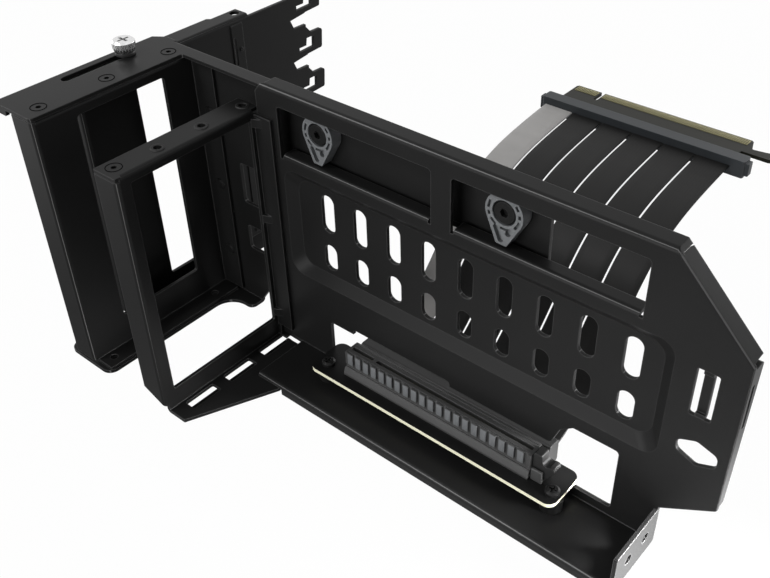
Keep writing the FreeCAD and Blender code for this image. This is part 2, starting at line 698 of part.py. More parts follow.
def cam(name, x):
    """Teardrop cam on its own pivot, thickness along the body's Z axis."""
    body = piece(name, x, CAM_BACK, "cam_z", 90)
    solid(body, name + "_body", "XY_Plane", "0", "cam_thick", [
        ("-cam_tip / 2", "-cam_reach", "cam_tip * 0.2"), ("cam_tip / 2", "-cam_reach", "cam_tip * 0.2"),
        ("cam_radius", "-0.1 * cam_radius", "cam_radius * 0.5"),
        ("cam_radius", "cam_radius", "cam_radius * 0.92"),
        ("-cam_radius * 0.2", "cam_radius", "cam_radius * 0.4"),
        ("-cam_radius", "cam_radius * 0.45", "cam_radius * 0.4"),
        ("-cam_radius", "-0.1 * cam_radius", "cam_radius * 0.3")])
    cut(body, name + "_bore", "XY_Plane", "-1", "cam_thick + 1", ("0", "0", "cam_screw_radius + gap"))
    cut(body, name + "_seat", "XY_Plane", "cam_thick - cam_head_height - 0.4", "cam_thick + 1",
        ("0", "0", "cam_head_radius + gap + 0.1"))
    cut(body, name + "_pockets", "XY_Plane", "cam_thick - cam_pocket", "cam_thick + 1",
        [("-2.5", "-5.9", "0.4"), ("-0.5", "-6.2", "0.4"), ("0.2", "-8.8", "0.4"), ("-1.1", "-9.9", "0.4")],
        [("0.6", "-6.2", "0.4"), ("2.7", "-5.6", "0.4"), ("1.7", "-9.3", "0.4"), ("1.0", "-9.0", "0.4")])
    spot = cut(body, name + "_spot", "XY_Plane", "cam_thick - cam_pocket", "cam_thick + 1",
               box("5.2", "6.2", "-0.7", "0.7", "0.3"))
    ring(body, name + "_spots", [spot], 9)
    return body


def cam_screw(name, x):
    """Socket screw whose head sits in the cam's seat, one gap clear of it."""
    body = piece(name, x, CAM_BACK, "cam_z", 90)
    tail = "-(gap + wall + cam_nut_height + 0.8)"
    seat = "(cam_thick - cam_head_height - 0.4 + gap)"
    turned(body, name + "_body", [
        ("0", tail), ("cam_screw_radius - 0.4", tail), ("cam_screw_radius", tail + " + 0.4"),
        ("cam_screw_radius", seat), ("cam_head_radius", seat),
        ("cam_head_radius", seat + " + cam_head_height - 0.4"),
        ("cam_head_radius - 0.4", seat + " + cam_head_height"), ("0", seat + " + cam_head_height")])
    cut(body, name + "_socket", "XY_Plane", seat + " + cam_head_height - 1.8",
        seat + " + cam_head_height + 1", hexagon("3"))
    return body


cam("cam_rear", "cam_x")
cam("cam_front", "cam_x + cam_pitch")
cam_screw("cam_screw_rear", "cam_x")
cam_screw("cam_screw_front", "cam_x + cam_pitch")
nuts = piece("cam_nuts", "cam_x", ARM_BACK, "cam_z", 90)
cam_nut = solid(nuts, "cam_nut", "XY_Plane", "-cam_nut_height", "0",
                hexagon("cam_nut_flats"), ("0", "0", "cam_screw_radius + 0.05"))
row(nuts, "cam_nut_row", [cam_nut], "X_Axis", "cam_pitch", "2")

# Side plate
plate = piece("side_plate")
PLATE_BACK = "(plate_y + wall)"
FLANGE_BACK = "(plate_y + plate_flange)"
SLANT = "sqrt((tip_x - slant_x)^2 + (%s - tip_high)^2)" % PLATE_TOP
RUN_X = "((tip_x - slant_x) / %s)" % SLANT
RUN_Z = "((%s - tip_high) / %s)" % (PLATE_TOP, SLANT)
SLANT_GAP = "(%s / %s + 0.1)" % (OUTSIDE, RUN_Z)
solid(plate, "plate_sheet", "YZ_Plane", "plate_left", "tip_x", [
    (FLANGE_BACK, PLATE_TOP), ("plate_y", PLATE_TOP, OUTSIDE), ("plate_y", "ledge_top", "bend"),
    ("ledge_front", "ledge_top", OUTSIDE), ("ledge_front", "lip_low"), ("ledge_front + wall", "lip_low"),
    ("ledge_front + wall", LEDGE_LOW, "bend"), (PLATE_BACK, LEDGE_LOW, OUTSIDE),
    (PLATE_BACK, PLATE_TOP + " - wall", "bend"), (FLANGE_BACK, PLATE_TOP + " - wall")])
cut(plate, "plate_slant", "XZ_Plane", "plate_y - 1", FLANGE_BACK + " + 1", [
    ("slant_x", PLATE_TOP), ("tip_x", "tip_high"), ("tip_x + 1", "tip_high"),
    ("tip_x + 1", PLATE_TOP + " + 1"), ("slant_x", PLATE_TOP + " + 1")])
cut(plate, "plate_heel", "XZ_Plane", "ledge_front - 1", FLANGE_BACK + " + 1", [
    ("tip_x + 1", "tip_low"), ("tip_x", "tip_low"), ("heel_x", "heel_high"), ("heel_x", "lip_low - 1"),
    ("tip_x + 1", "lip_low - 1")])
cut(plate, "plate_corner", "XZ_Plane", PLATE_BACK, FLANGE_BACK + " + 1",
    box("plate_left - 1", "flange_start", PLATE_TOP + " - 2 * wall", PLATE_TOP + " + 1"))
cut(plate, "plate_corner_front", "XZ_Plane", "plate_y - 1", PLATE_BACK + " + 1", [
    ("plate_left - 1", PLATE_TOP + " - 5"), ("flange_start", PLATE_TOP + " + 1"),
    ("plate_left - 1", PLATE_TOP + " + 1")])
cut(plate, "ledge_end", "XY_Plane", "lip_low - 1", "ledge_top + bend", [
    ("plate_left - 1", "ledge_front - 1"), ("ledge_left", "ledge_front - 1"),
    ("ledge_left", "plate_y - bend"), ("plate_left + 4", "plate_y"), ("plate_left - 1", "plate_y")])
cut(plate, "lip_end", "YZ_Plane", "ledge_left - 1", "lip_start",
    box("ledge_front - 1", "ledge_front + 2 * wall", "lip_low - 1", LEDGE_LOW))
solid(plate, "slant_flange", "XZ_Plane", "plate_y", FLANGE_BACK, [
    ("slant_x + %s * %s" % (SLANT_GAP, RUN_X), "%s - %s * %s" % (PLATE_TOP, SLANT_GAP, RUN_Z)),
    ("tip_x - relief * %s" % RUN_X, "tip_high + relief * %s" % RUN_Z),
    ("tip_x - relief * %s - wall * %s" % (RUN_X, RUN_Z),
     "tip_high + relief * %s - wall * %s" % (RUN_Z, RUN_X)),
    ("slant_x + %s * %s - wall * %s" % (SLANT_GAP, RUN_X, RUN_Z),
     "%s - %s * %s - wall * %s" % (PLATE_TOP, SLANT_GAP, RUN_Z, RUN_X))])
solid(plate, "end_flange", "YZ_Plane", "tip_x - wall", "tip_x", [
    ("plate_y", "tip_low + relief"), ("plate_y + tip_deep_low", "tip_low + relief", "corner"),
    (FLANGE_BACK, "tip_high - relief", "corner"), ("plate_y", "tip_high - relief")])
round_edges(plate, "slant_bend", "wall * 0.5", lambda p: abs(p.y - value("plate_y")) < 0.01 and (
    abs((p.x - value("slant_x")) * value(RUN_Z) + (p.z - value(PLATE_TOP)) * value(RUN_X)) < 0.01
    or abs(p.x - value("tip_x")) < 0.01))
solid(plate, "end_wall", "YZ_Plane", "heel_x - wall", "heel_x",
      box("ledge_front", "plate_y + wall / 2", LEDGE_LOW + " + wall / 2", "wall_high", "0.6"))
cut(plate, "end_wall_holes", "YZ_Plane", "heel_x - wall - 1", "heel_x + 1",
    ("wall_hole_y - wall_hole_pitch / 2", "wall_hole_z", "wall_hole_radius"),
    ("wall_hole_y + wall_hole_pitch / 2", "wall_hole_z", "wall_hole_radius"))
for side, shift in (("rear", "0"), ("front", "cam_window_pitch")):
    left = "(cam_window_left + %s)" % shift
    right = "(%s + cam_window_width)" % left
    cut(plate, "cam_window_" + side, "XZ_Plane", "plate_y - 1", PLATE_BACK + " + 1", [
        (left, "cam_window_low - " + OUTSIDE), (right, "cam_window_low - " + OUTSIDE),
        (right, "cam_window_high", "corner"), (left, "cam_window_high", "corner")])
    solid(plate, "cam_lip_" + side, "YZ_Plane", left + " + relief", right + " - relief", folded(
        "plate_y + cam_lip", "cam_window_low - %s - wall" % OUTSIDE, "plate_y", "cam_window_low",
        PLATE_BACK, "cam_window_low - wall"))


def panel(grow):
    edge = "(%s)" % grow
    return [("panel_left - " + edge, "panel_low - " + edge, "corner * 4"),
            ("panel_right + " + edge, "panel_low - " + edge, "corner * 4"),
            ("panel_right + " + edge, "panel_high + " + edge, "corner * 4"),
            ("panel_left - " + edge, "panel_high + " + edge, "corner * 4")]


loft(plate, "PartDesign::AdditiveLoft", "panel_back", "XZ_Plane",
     "-(plate_y + wall / 2)", panel("0.9"), "-(%s + panel_deep)" % PLATE_BACK, panel("0.6 - panel_bevel"))
loft(plate, "PartDesign::SubtractiveLoft", "panel_front", "XZ_Plane",
     "-plate_y", panel("0"), "-(plate_y + panel_deep)", panel("-panel_bevel"))
PRESSED = "(%s + panel_deep)" % PLATE_BACK
vent = cut(plate, "vent", "XZ_Plane", "plate_y - 1", PRESSED + " + 1",
           stadium("vent_left", "vent_left + vent_width", "vent_low", "vent_high", "vent_width"),
           stadium("vent_left", "vent_left + vent_width", "vent_foot", "vent_head", "vent_width"))
row(plate, "vents", [vent], "X_Axis", "vent_pitch * (vent_count - 1)", "vent_count")
cut(plate, "cable_window", "XZ_Plane", "plate_y - 1", PLATE_BACK + " + 1", [
    ("cable_left", "cable_low", "corner"), ("cable_right", "cable_low", "corner"),
    ("cable_right", "cable_rise", "corner"), ("cable_rise_x", "cable_rise", "corner"),
    ("cable_rise_x - 5", "cable_rise - 4.1"), ("cable_rise_x - 8.2", "cable_high", "corner"),
    ("notch_right", "cable_high"), ("notch_right", "cable_high + notch_high", "corner"),
    ("notch_left", "cable_high + notch_high", "corner"), ("notch_left", "cable_high"),
    ("cable_left", "cable_high", "corner")])
cut(plate, "strap_window", "XZ_Plane", "plate_y - 1", PLATE_BACK + " + 1",
    box("strap_left", "strap_right", "strap_low", "strap_high", "0.8"))
STRAP_X = "((strap_left + strap_right) / 2)"
solid(plate, "strap", "YZ_Plane", STRAP_X + " - strap_wide / 2", STRAP_X + " + strap_wide / 2", [
    ("plate_y + 0.2", "strap_low - 0.5"), (PLATE_BACK + " + strap_deep", "strap_low - 0.5", "corner"),
    (PLATE_BACK + " + strap_deep", "strap_high + 0.5", "corner"), ("plate_y + 0.2", "strap_high + 0.5"),
    ("plate_y + 0.2", "strap_high - wall"), ("plate_y + strap_deep", "strap_high - wall"),
    ("plate_y + strap_deep", "strap_low + wall"), ("plate_y + 0.2", "strap_low + wall")])
HEX_Z = "((hex_low + hex_high) / 2)"
HEX_X = "((hex_left + hex_right) / 2)"
HEX_ROUND = "corner * 1.6"
cut(plate, "hex_hole", "XZ_Plane", "plate_y - 1", PLATE_BACK + " + 1", [
    ("hex_left", HEX_Z + " - 2", HEX_ROUND), (HEX_X + " + 0.4", "hex_low", HEX_ROUND),
    ("hex_right", HEX_Z + " - 2.4", HEX_ROUND), ("hex_right", HEX_Z + " + 2.6", HEX_ROUND),
    (HEX_X + " - 0.6", "hex_high", HEX_ROUND), ("hex_left", HEX_Z + " + 2.4", HEX_ROUND)])
cut(plate, "end_slit", "YZ_Plane", "tip_x - wall - 1", "tip_x + 1",
    box("plate_y + 2.4", "plate_y + 4", "strap_low + 1", "strap_high - 0.3"))

# Card frame with its slotted foot
card = piece("card_frame")
CARD_IN = "(card_face - wall)"
CARD_LEFT_IN = "(card_left + %s)" % OUTSIDE
CARD_RIGHT_IN = "(plate_y - %s)" % OUTSIDE
FOOT_LOW = "(%s - wall)" % FOOT_TOP
solid(card, "card_face_sheet", "XZ_Plane", CARD_LEFT_IN, CARD_RIGHT_IN, [
    ("foot_corner_x", FOOT_LOW), (CARD_IN, FOOT_LOW, OUTSIDE), (CARD_IN, "card_top - wall", "bend"),
    ("card_back", "card_top - wall"), ("card_back", "card_top"), ("card_face", "card_top", OUTSIDE),
    ("card_face", FOOT_TOP, "bend"), ("foot_corner_x", FOOT_TOP)])
solid(card, "card_side", "XY_Plane", FOOT_LOW + " + 2 * wall", "card_top - wall - gap", folded(
    "card_back", CARD_LEFT_IN + " + wall", "card_face", "card_left", CARD_IN, "card_left + wall"))
cut(card, "card_side_corner", "XZ_Plane", "card_left - 1", "card_left + wall + bend", [
    ("card_back - 1", FOOT_LOW), ("card_face + 1", FOOT_LOW), ("card_face + 1", FOOT_LOW + " + 2.4 * wall"),
    ("card_back + 1", "card_side_low"), ("card_back - 1", "card_side_low + 1")])
solid(card, "card_flange", "XY_Plane", "ledge_top + 4", "card_top - wall - gap", folded(
    "card_face + card_lap", CARD_RIGHT_IN + " - wall", CARD_IN, "plate_y", "card_face", "plate_y - wall"))
solid(card, "card_tab", "XY_Plane", "card_top - 2 * wall", "card_top - wall",
      box("card_back + 1", CARD_IN + " - bend", "card_left + wall / 2", "corner_y + 4", "0.7"))
solid(card, "card_top_end", "XY_Plane", "card_top - wall", "card_top",
      box("card_back", "card_face - bend", "card_left", CARD_LEFT_IN + " + 1", "0.4"))
solid(card, "card_flange_end", "XY_Plane", "card_top - wall", "card_top",
      box("card_back", CARD_IN, CARD_RIGHT_IN + " - 1", "plate_y + 2", "0.8"))
cut(card, "card_opening", "YZ_Plane", CARD_IN + " - 1", "card_face + 1",
    box("card_open_left", "card_open_right", "card_open_low", "card_open_high", "0.8"))
cut(card, "foot_slant", "XY_Plane", FOOT_LOW + " - 1", FOOT_TOP + " + 0.2", [
    ("foot_tip_x", "foot_tip_y"), ("foot_corner_x", "foot_corner_y"), ("foot_corner_x + 1", "foot_corner_y"),
    ("foot_corner_x + 1", "card_left - 1"), ("foot_tip_x", "card_left - 1")])
rim = solid(card, "card_rim_ring", "XY_Plane", "card_top - wall / 2", "card_top + card_rim",
            ("card_hole_x", "card_hole_y", "card_hole_radius + 1"))
card_hole = cut(card, "card_hole", "XY_Plane", "card_top - 2 * wall", "card_top + card_rim + 1",
                ("card_hole_x", "card_hole_y", "card_hole_radius"))
row(card, "card_holes", [rim, card_hole], "Y_Axis", "slot_pitch * 2", "3")
cut(card, "corner_hole", "XY_Plane", "card_top - 3 * wall", "card_top + 1",
    ("corner_x", "corner_y", "deck_screw_radius"))
loft(card, "PartDesign::SubtractiveLoft", "corner_sink", "XY_Plane",
     "card_top - wall", ("corner_x", "corner_y", "deck_screw_radius"),
     "card_top", ("corner_x", "corner_y", "deck_head_radius"))
foot_slot = cut(card, "foot_slot", "XY_Plane", FOOT_LOW + " - 1", FOOT_TOP + " + 0.2",
                box("foot_slot_x", "foot_slot_x + foot_slot_wide", "foot_slot_y",
                    "foot_slot_y + foot_slot_long", "0.8"))
BAR_X = "(foot_slot_x + foot_slot_wide * 0.66)"
foot_bar = solid(card, "foot_slot_bar", "XZ_Plane", "foot_slot_y - 1", "foot_slot_y + foot_slot_long + 1",
                 box(BAR_X + " - foot_bar / 2", BAR_X + " + foot_bar / 2", FOOT_LOW + " - wall * 0.7",
                     FOOT_LOW + " + 0.1"))
row(card, "foot_slots", [foot_slot, foot_bar], "Y_Axis", "slot_pitch * 2", "3")
for level, height in (("high", "card_open_high - 1"), ("middle", "-8"), ("low", "card_open_low + 4")):
    solid(card, "gusset_" + level, "XY_Plane", height + " - gusset / 2", height + " + gusset / 2", [
        ("card_face - 0.3", "plate_y - wall + 0.3"), ("card_face + gusset", "plate_y - wall + 0.3"),
        ("card_face + gusset", "plate_y - wall"), ("card_face", "card_open_right + 0.1"),
        ("card_face - 0.3", "card_open_right + 0.1")])

corner = piece("corner_screw", "corner_x", "corner_y", "card_top")
turned(corner, "corner_screw_body", [
    ("0", "-3 * wall"), ("deck_screw_radius", "-3 * wall"), ("deck_screw_radius", "-wall"),
    ("deck_head_radius", "0"), ("0", "0")])
cut(corner, "corner_socket", "XY_Plane", "-0.9", "0.5", hexagon("2"))

# Riser board and socket
board = piece("riser_board")
solid(board, "board_sheet", "XY_Plane", BOARD_LOW, "board_top",
      box("board_left", SOCKET_END + " + board_tail", "board_front", "board_back", "corner * 2.4"),
      ("board_hole_x", "board_hole_y", "board_screw_radius"),
      ("board_hole_x + " + HOLE_PITCH, "board_hole_y", "board_screw_radius"))
standoffs = piece("board_standoffs", "board_hole_x", "board_hole_y", "ledge_top")
standoff = solid(standoffs, "standoff", "XY_Plane", "0", BOARD_LOW + " - ledge_top",
                 ("0", "0", "standoff_radius"), ("0", "0", "board_screw_radius"))
row(standoffs, "standoff_row", [standoff], "X_Axis", HOLE_PITCH, "2")
board_screws = piece("board_screws", "board_hole_x", "board_hole_y", "board_top")
board_screw = turned(board_screws, "board_screw", [
    ("0", "-board_thick - 4"), ("board_screw_radius", "-board_thick - 4"), ("board_screw_radius", "0"),
    ("board_head_radius", "0"), ("board_head_radius", "1.3"), ("board_head_radius - 0.8", "1.9"),
    ("0", "1.9")])
board_cross = cut(board_screws, "board_cross", "XY_Plane", "1", "2.5", box("-1.6", "1.6", "-0.4", "0.4"))
board_cross_other = cut(board_screws, "board_cross_other", "XY_Plane", "1", "2.5",
                        box("-0.4", "0.4", "-1.6", "1.6"))
row(board_screws, "board_screw_row", [board_screw, board_cross, board_cross_other],
    "X_Axis", HOLE_PITCH, "2")

socket = piece("slot_housing", "socket_left", "socket_y", "board_top")
solid(socket, "socket_body", "XY_Plane", "0", "socket_high",
      box("0", "socket_long", "-socket_wide / 2", "socket_wide / 2", "0.4"))
SOCKET_NEAR = "(-socket_wide / 2)"
solid(socket, "socket_skirt", "YZ_Plane", "0", "socket_long", [
    (SOCKET_NEAR + " + 0.2", "0"), (SOCKET_NEAR + " + 0.2", "socket_high * 0.3"),
    (SOCKET_NEAR + " - 0.3", "socket_high * 0.3"), (SOCKET_NEAR + " - 1.2", "0.8"),
    (SOCKET_NEAR + " - 1.2", "0")])
cut(socket, "socket_lines", "XY_Plane", "socket_high - 0.4", "socket_high + 1",
    box("1", "socket_long - 1", "-socket_wide / 2 + 0.9", "-socket_wide / 2 + 1.3"),
    box("1", "socket_long - 1", "socket_wide / 2 - 1.3", "socket_wide / 2 - 0.9"))
cut(socket, "socket_slot", "XY_Plane", "socket_high - socket_deep", "socket_high + 1",
    box("1.2", "socket_key", "-socket_gap / 2", "socket_gap / 2"),
    box("socket_key + 1.7", "socket_long - 1.2", "-socket_gap / 2", "socket_gap / 2"))
cut(socket, "socket_step", "XZ_Plane", "-socket_wide / 2 - 1", "-socket_wide / 2 + 0.7",
    box("-1", "socket_long + 1", "socket_high * 0.32", "socket_high * 0.5"))
PAD_PITCH = "((socket_long - 3) / pad_count)"
pad_groove = cut(socket, "socket_groove", "XZ_Plane", SOCKET_NEAR + " - 1", SOCKET_NEAR + " + 0.7",
                 box("1.5 + %s * 0.68" % PAD_PITCH, "1.5 + " + PAD_PITCH, "socket_high * 0.49",
                     "socket_high + 1"))
row(socket, "socket_grooves", [pad_groove], "X_Axis", "socket_long - 3 - %s" % PAD_PITCH, "pad_count")
contacts = piece("slot_contacts", "socket_left", "socket_y", "board_top")
for name, low in (("contact_row", "-socket_gap / 2 + 0.05"), ("contact_row_far", "socket_gap / 2 - 0.35")):
    solid(contacts, name, "XZ_Plane", low, low + " + 0.3",
          box("socket_key + 2.4", "socket_long - 2", "socket_high - socket_deep", "socket_high - 2.4"),
          box("2", "socket_key - 0.7", "socket_high - socket_deep", "socket_high - 2.4"))

LATCH_X = "(%s + gap)" % SOCKET_END
latch = piece("slot_latch", LATCH_X, "socket_y", "board_top")
solid(latch, "latch_arm", "XZ_Plane", "-latch_wide / 2", "latch_wide / 2", [
    ("0", "1.2", "2"), ("5.2", "1.2", "1"), ("latch_long", "7.4", "1"), ("latch_long - 0.6", "8.8", "0.6"),
    ("latch_long - 2.4", "8.8", "0.6"), ("4.6", "5.2", "1.5"), ("3.4", "socket_high + 1", "0.6"),
    ("0", "socket_high + 1", "0.6")])
cut(latch, "latch_hole", "XZ_Plane", "-latch_wide", "latch_wide", ("2.6", "3.4", "latch_pin"))
pivot = piece("latch_pivot", LATCH_X, "socket_y", "board_top")
solid(pivot, "pivot_cheeks", "YZ_Plane", "0.4", "4.8",
      box("-latch_wide / 2 - gap - 1.2", "-latch_wide / 2 - gap", "0", "5.6", "0.4"),
      box("latch_wide / 2 + gap", "latch_wide / 2 + gap + 1.2", "0", "5.6", "0.4"))
solid(pivot, "pivot_pin", "XZ_Plane", "-latch_wide / 2 - gap - 0.6", "latch_wide / 2 + gap + 0.6",
      ("2.6", "3.4", "latch_pin - gap"))

# Cable clamp, strips and plug
clamp = piece("cable_clamp", "strip_left - 2", "board_back - 1.8", "board_top - board_thick / 2")
CLAMP_LONG = "(5 * strip_pitch + strip_wide + 4)"
solid(clamp, "clamp_bar", "YZ_Plane", "0", CLAMP_LONG,
      box("0", "clamp_deep", "-clamp_foot", "clamp_high - clamp_foot", "corner"))
cut(clamp, "clamp_seat", "YZ_Plane", "-1", CLAMP_LONG + " + 1",
    box("-1", "1.9", "-board_thick / 2", "board_thick / 2"))

# Route of the cable beside the board's back edge, as run by hand: away and up from the board
ROUTE = [(4.6, -0.9), (16.5, 3.4), (27.9, 11.2), (39.4, 22.5), (50.9, 35.9), (63.9, 49.2), (78.9, 58.2),
         (101.9, 63.1), (125.2, 64.9)]


def route_radius(index):
    """Radius of the arc at one point of the route."""
    before = ROUTE[index - 1]
    here = ROUTE[index]
    after = ROUTE[index + 1]
    run = min(math.dist(before, here), math.dist(here, after))
    turn = math.atan2(after[1] - here[1], after[0] - here[0]) - math.atan2(
        here[1] - before[1], here[0] - before[0])
    return 0.45 * run / math.tan(abs(turn) / 2), turn


def route_side(side):
    """Corners of the strip's upper (1) or lower (-1) face."""
    corners = []
    last = len(ROUTE) - 1
    for index, (y, z) in enumerate(ROUTE):
        into = direction(ROUTE[max(index - 1, 0)], ROUTE[max(index, 1)])
        out = direction(ROUTE[min(index, last - 1)], ROUTE[min(index + 1, last)])
        normal = direction((0, 0), (-into[1] - out[1], into[0] + out[0]))
        widen = side / 2 / (normal[1] * into[0] - normal[0] * into[1])
        corner = ("board_back + %.2f + strip_thick * %.6f" % (y, normal[0] * widen),
                  "board_top + %.2f + strip_thick * %.6f" % (z, normal[1] * widen))
        if 0 < index < last:
            radius, turn = route_radius(index)
            swing = -side if turn > 0 else side
            corner += ("%.4f + strip_thick / 2 * %d" % (radius, swing),)
        corners.append(corner)
    return corners


def route_length():
    length = sum(math.dist(ROUTE[i], ROUTE[i + 1]) for i in range(len(ROUTE) - 1))
    for index in range(1, len(ROUTE) - 1):
        radius, turn = route_radius(index)
        length += radius * abs(turn) - 2 * radius * math.tan(abs(turn) / 2)
    return length


STRIP_OUTLINE = route_side(1) + route_side(-1)[::-1]
for number in range(6):
    name = "ribbon_silver" if number == 0 else "ribbon_black_%d" % number
    strip = piece(name, "strip_left + strip_pitch * %d" % number)
    solid(strip, name + "_strip", "YZ_Plane", "0", "strip_wide", STRIP_OUTLINE)
    section = value("strip_wide * strip_thick")
    print(name, "volume over section times length", round(strip.Shape.Volume / section / route_length(), 4))
print("cable length", round(route_length(), 1), "radii",
      [round(route_radius(i)[0], 1) for i in range(1, len(ROUTE) - 1)])

PLUG_Y = "(board_back + 125.4)"
PLUG_Z = "(board_top + 64.9)"
plug = piece("plug_housing", "0", PLUG_Y, PLUG_Z)
solid(plug, "plug_bar", "XY_Plane", "-plug_high / 2", "plug_high / 2",
      box("plug_left", "plug_right", "0", "plug_deep", "corner * 0.6"))
solid(plug, "plug_ears", "XY_Plane", "-plug_high / 2 + 1", "plug_high / 2 - 1",
      box("plug_left - 1.6", "plug_left + 1", "1", "plug_deep - 1.4", "0.4"),
      box("plug_right - 1", "plug_right + 1.6", "1", "plug_deep - 1.4", "0.4"))
cut(plug, "plug_seat", "XZ_Plane", "plug_deep / 2", "plug_deep + 1",
    box("edge_left", "edge_right", "-edge_thick / 2", "edge_thick / 2"))
edge = piece("plug_board", "0", PLUG_Y, PLUG_Z)
KEY_X = "(edge_left + 1 + finger_short)"
solid(edge, "edge_sheet", "XY_Plane", "-edge_thick / 2", "edge_thick / 2", [
    ("edge_left", "plug_deep / 2"), ("edge_right", "plug_deep / 2"), ("edge_right", "plug_deep + 7"),
    ("edge_right + 12", "plug_deep + 7", "corner"), ("edge_right + 15", "plug_deep + 10", "corner"),
    ("edge_right + 15", "plug_deep + 14", "corner * 0.6"),
    ("edge_right + 9", "plug_deep + 12", "corner * 0.6"),
    ("edge_right + 3", "plug_deep + 11", "corner * 0.6"),
    ("edge_right + 1", "edge_deep + plug_deep / 2 - 1"),
    ("edge_right", "edge_deep + plug_deep / 2"), (KEY_X + " + key_wide", "edge_deep + plug_deep / 2"),
    (KEY_X + " + key_wide", "edge_deep + plug_deep / 2 - 8", "key_wide * 0.45"),
    (KEY_X, "edge_deep + plug_deep / 2 - 8", "key_wide * 0.45"), (KEY_X, "edge_deep + plug_deep / 2"),
    ("edge_left + 0.8", "edge_deep + plug_deep / 2"), ("edge_left", "edge_deep + plug_deep / 2 - 1")])
fingers = piece("plug_fingers", "0", PLUG_Y, PLUG_Z)
FINGER_END = "(edge_deep + plug_deep / 2 - 0.6)"
for side, low in (("upper", "edge_thick / 2"), ("lower", "-edge_thick / 2 - finger_thick")):
    solid(fingers, "fingers_" + side, "XY_Plane", low, low + " + finger_thick",
          box(KEY_X + " - finger_short", KEY_X + " - 0.5", FINGER_END + " - finger_long", FINGER_END),
          box(KEY_X + " + key_wide + 0.4", KEY_X + " + key_wide + finger_run - 1.4",
              FINGER_END + " - finger_long", FINGER_END))

doc.recompute()
for item in doc.Objects:
    if "Invalid" in item.State or "Error" in item.State:
        raise RuntimeError("%s is %s" % (item.Name, item.State))
os.makedirs("parts", exist_ok=True)
for body in nodes:
    shape = body.Shape
    if shape.isNull() or not shape.isValid():
        raise RuntimeError("%s has no valid shape" % body.Label)
    shape.exportStep("parts/%s.step" % body.Label)
    print(body.Label, len(shape.Solids), "solids", round(shape.Volume, 1))
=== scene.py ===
import json
import math

import bpy
from mathutils import Matrix, Vector


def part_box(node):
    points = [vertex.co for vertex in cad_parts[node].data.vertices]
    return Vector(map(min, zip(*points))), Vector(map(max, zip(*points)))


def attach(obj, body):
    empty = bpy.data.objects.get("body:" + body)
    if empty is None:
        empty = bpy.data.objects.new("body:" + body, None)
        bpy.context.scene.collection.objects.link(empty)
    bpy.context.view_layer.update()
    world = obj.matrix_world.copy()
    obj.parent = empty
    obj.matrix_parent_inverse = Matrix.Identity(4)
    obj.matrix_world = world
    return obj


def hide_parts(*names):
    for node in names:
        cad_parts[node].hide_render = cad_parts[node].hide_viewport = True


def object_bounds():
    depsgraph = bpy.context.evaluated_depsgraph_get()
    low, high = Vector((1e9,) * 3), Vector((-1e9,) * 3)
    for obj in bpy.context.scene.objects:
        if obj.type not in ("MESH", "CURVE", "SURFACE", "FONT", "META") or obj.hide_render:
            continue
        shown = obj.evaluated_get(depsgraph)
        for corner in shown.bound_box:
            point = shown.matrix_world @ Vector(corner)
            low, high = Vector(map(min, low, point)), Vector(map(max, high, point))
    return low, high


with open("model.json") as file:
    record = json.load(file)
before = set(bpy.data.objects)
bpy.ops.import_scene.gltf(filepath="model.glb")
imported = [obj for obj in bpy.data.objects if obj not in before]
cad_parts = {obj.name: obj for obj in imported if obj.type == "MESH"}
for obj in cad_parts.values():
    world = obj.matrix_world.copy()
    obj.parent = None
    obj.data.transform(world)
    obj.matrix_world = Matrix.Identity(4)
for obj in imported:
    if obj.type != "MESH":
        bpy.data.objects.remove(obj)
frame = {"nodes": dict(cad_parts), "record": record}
cad_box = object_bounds()
MM = 0.001


# Shader values as Python expressions

class Value:
    """One output of a node, which plain arithmetic can combine."""

    def __init__(self, nodes, socket):
        self.nodes = nodes
        self.socket = socket

    def maths(self, operation, first, second=0.0):
        return self.nodes.node("Math", {"operation": operation}, {0: first, 1: second})

    def __add__(self, other):
        return self.maths("ADD", self, other)

    def __radd__(self, other):
        return self.maths("ADD", other, self)

    def __sub__(self, other):
        return self.maths("SUBTRACT", self, other)

    def __rsub__(self, other):
        return self.maths("SUBTRACT", other, self)

    def __mul__(self, other):
        return self.maths("MULTIPLY", self, other)

    def __rmul__(self, other):
        return self.maths("MULTIPLY", other, self)

    def __gt__(self, other):
        return self.maths("GREATER_THAN", self, other)

    def __lt__(self, other):
        return self.maths("LESS_THAN", self, other)

    def __abs__(self):
        return self.maths("ABSOLUTE", self)

    def larger(self, other):
        return self.maths("MAXIMUM", self, other)

    def wave(self, pitch):
        """Runs from 0 to 1 and back once in each pitch."""
        return self.maths("PINGPONG", self, pitch / 2) * (2 / pitch)

    def between(self, low, high):
        """Rises smoothly from 0 at low to 1 at high."""
        return self.nodes.node("MapRange", {"interpolation_type": "SMOOTHSTEP"},
                               {"Value": self, "From Min": low, "From Max": high})


class Nodes:
    """A node tree and the one method that adds to it."""

    def __init__(self, tree):
        self.tree = tree

    def node(self, kind, settings=None, inputs=None, out=0):
        """Add a node of a type with its settings, then the values or links of its sockets."""
        made = self.tree.nodes.new("ShaderNode" + kind)
        for key, item in (settings or {}).items():
            setattr(made, key, item)
        for key, item in (inputs or {}).items():
            if isinstance(item, Value):
                self.tree.links.new(item.socket, made.inputs[key])
            else:
                made.inputs[key].default_value = item
        return Value(self, made.outputs[out]) if made.outputs else None


# The painted highlight on bends falls on faces at 45 degrees to two axes, which are 0.2929 steep.
# The side plate's top bend has no facet at just that angle, so faces that look up and forwards are let
# in a little earlier.
BEND_STEEPNESS = (0.2905, 0.2925)
FRONT_BEND_EASE = 0.053
LOOKS_FORWARDS = -0.5
LOOKS_UP = 0.3


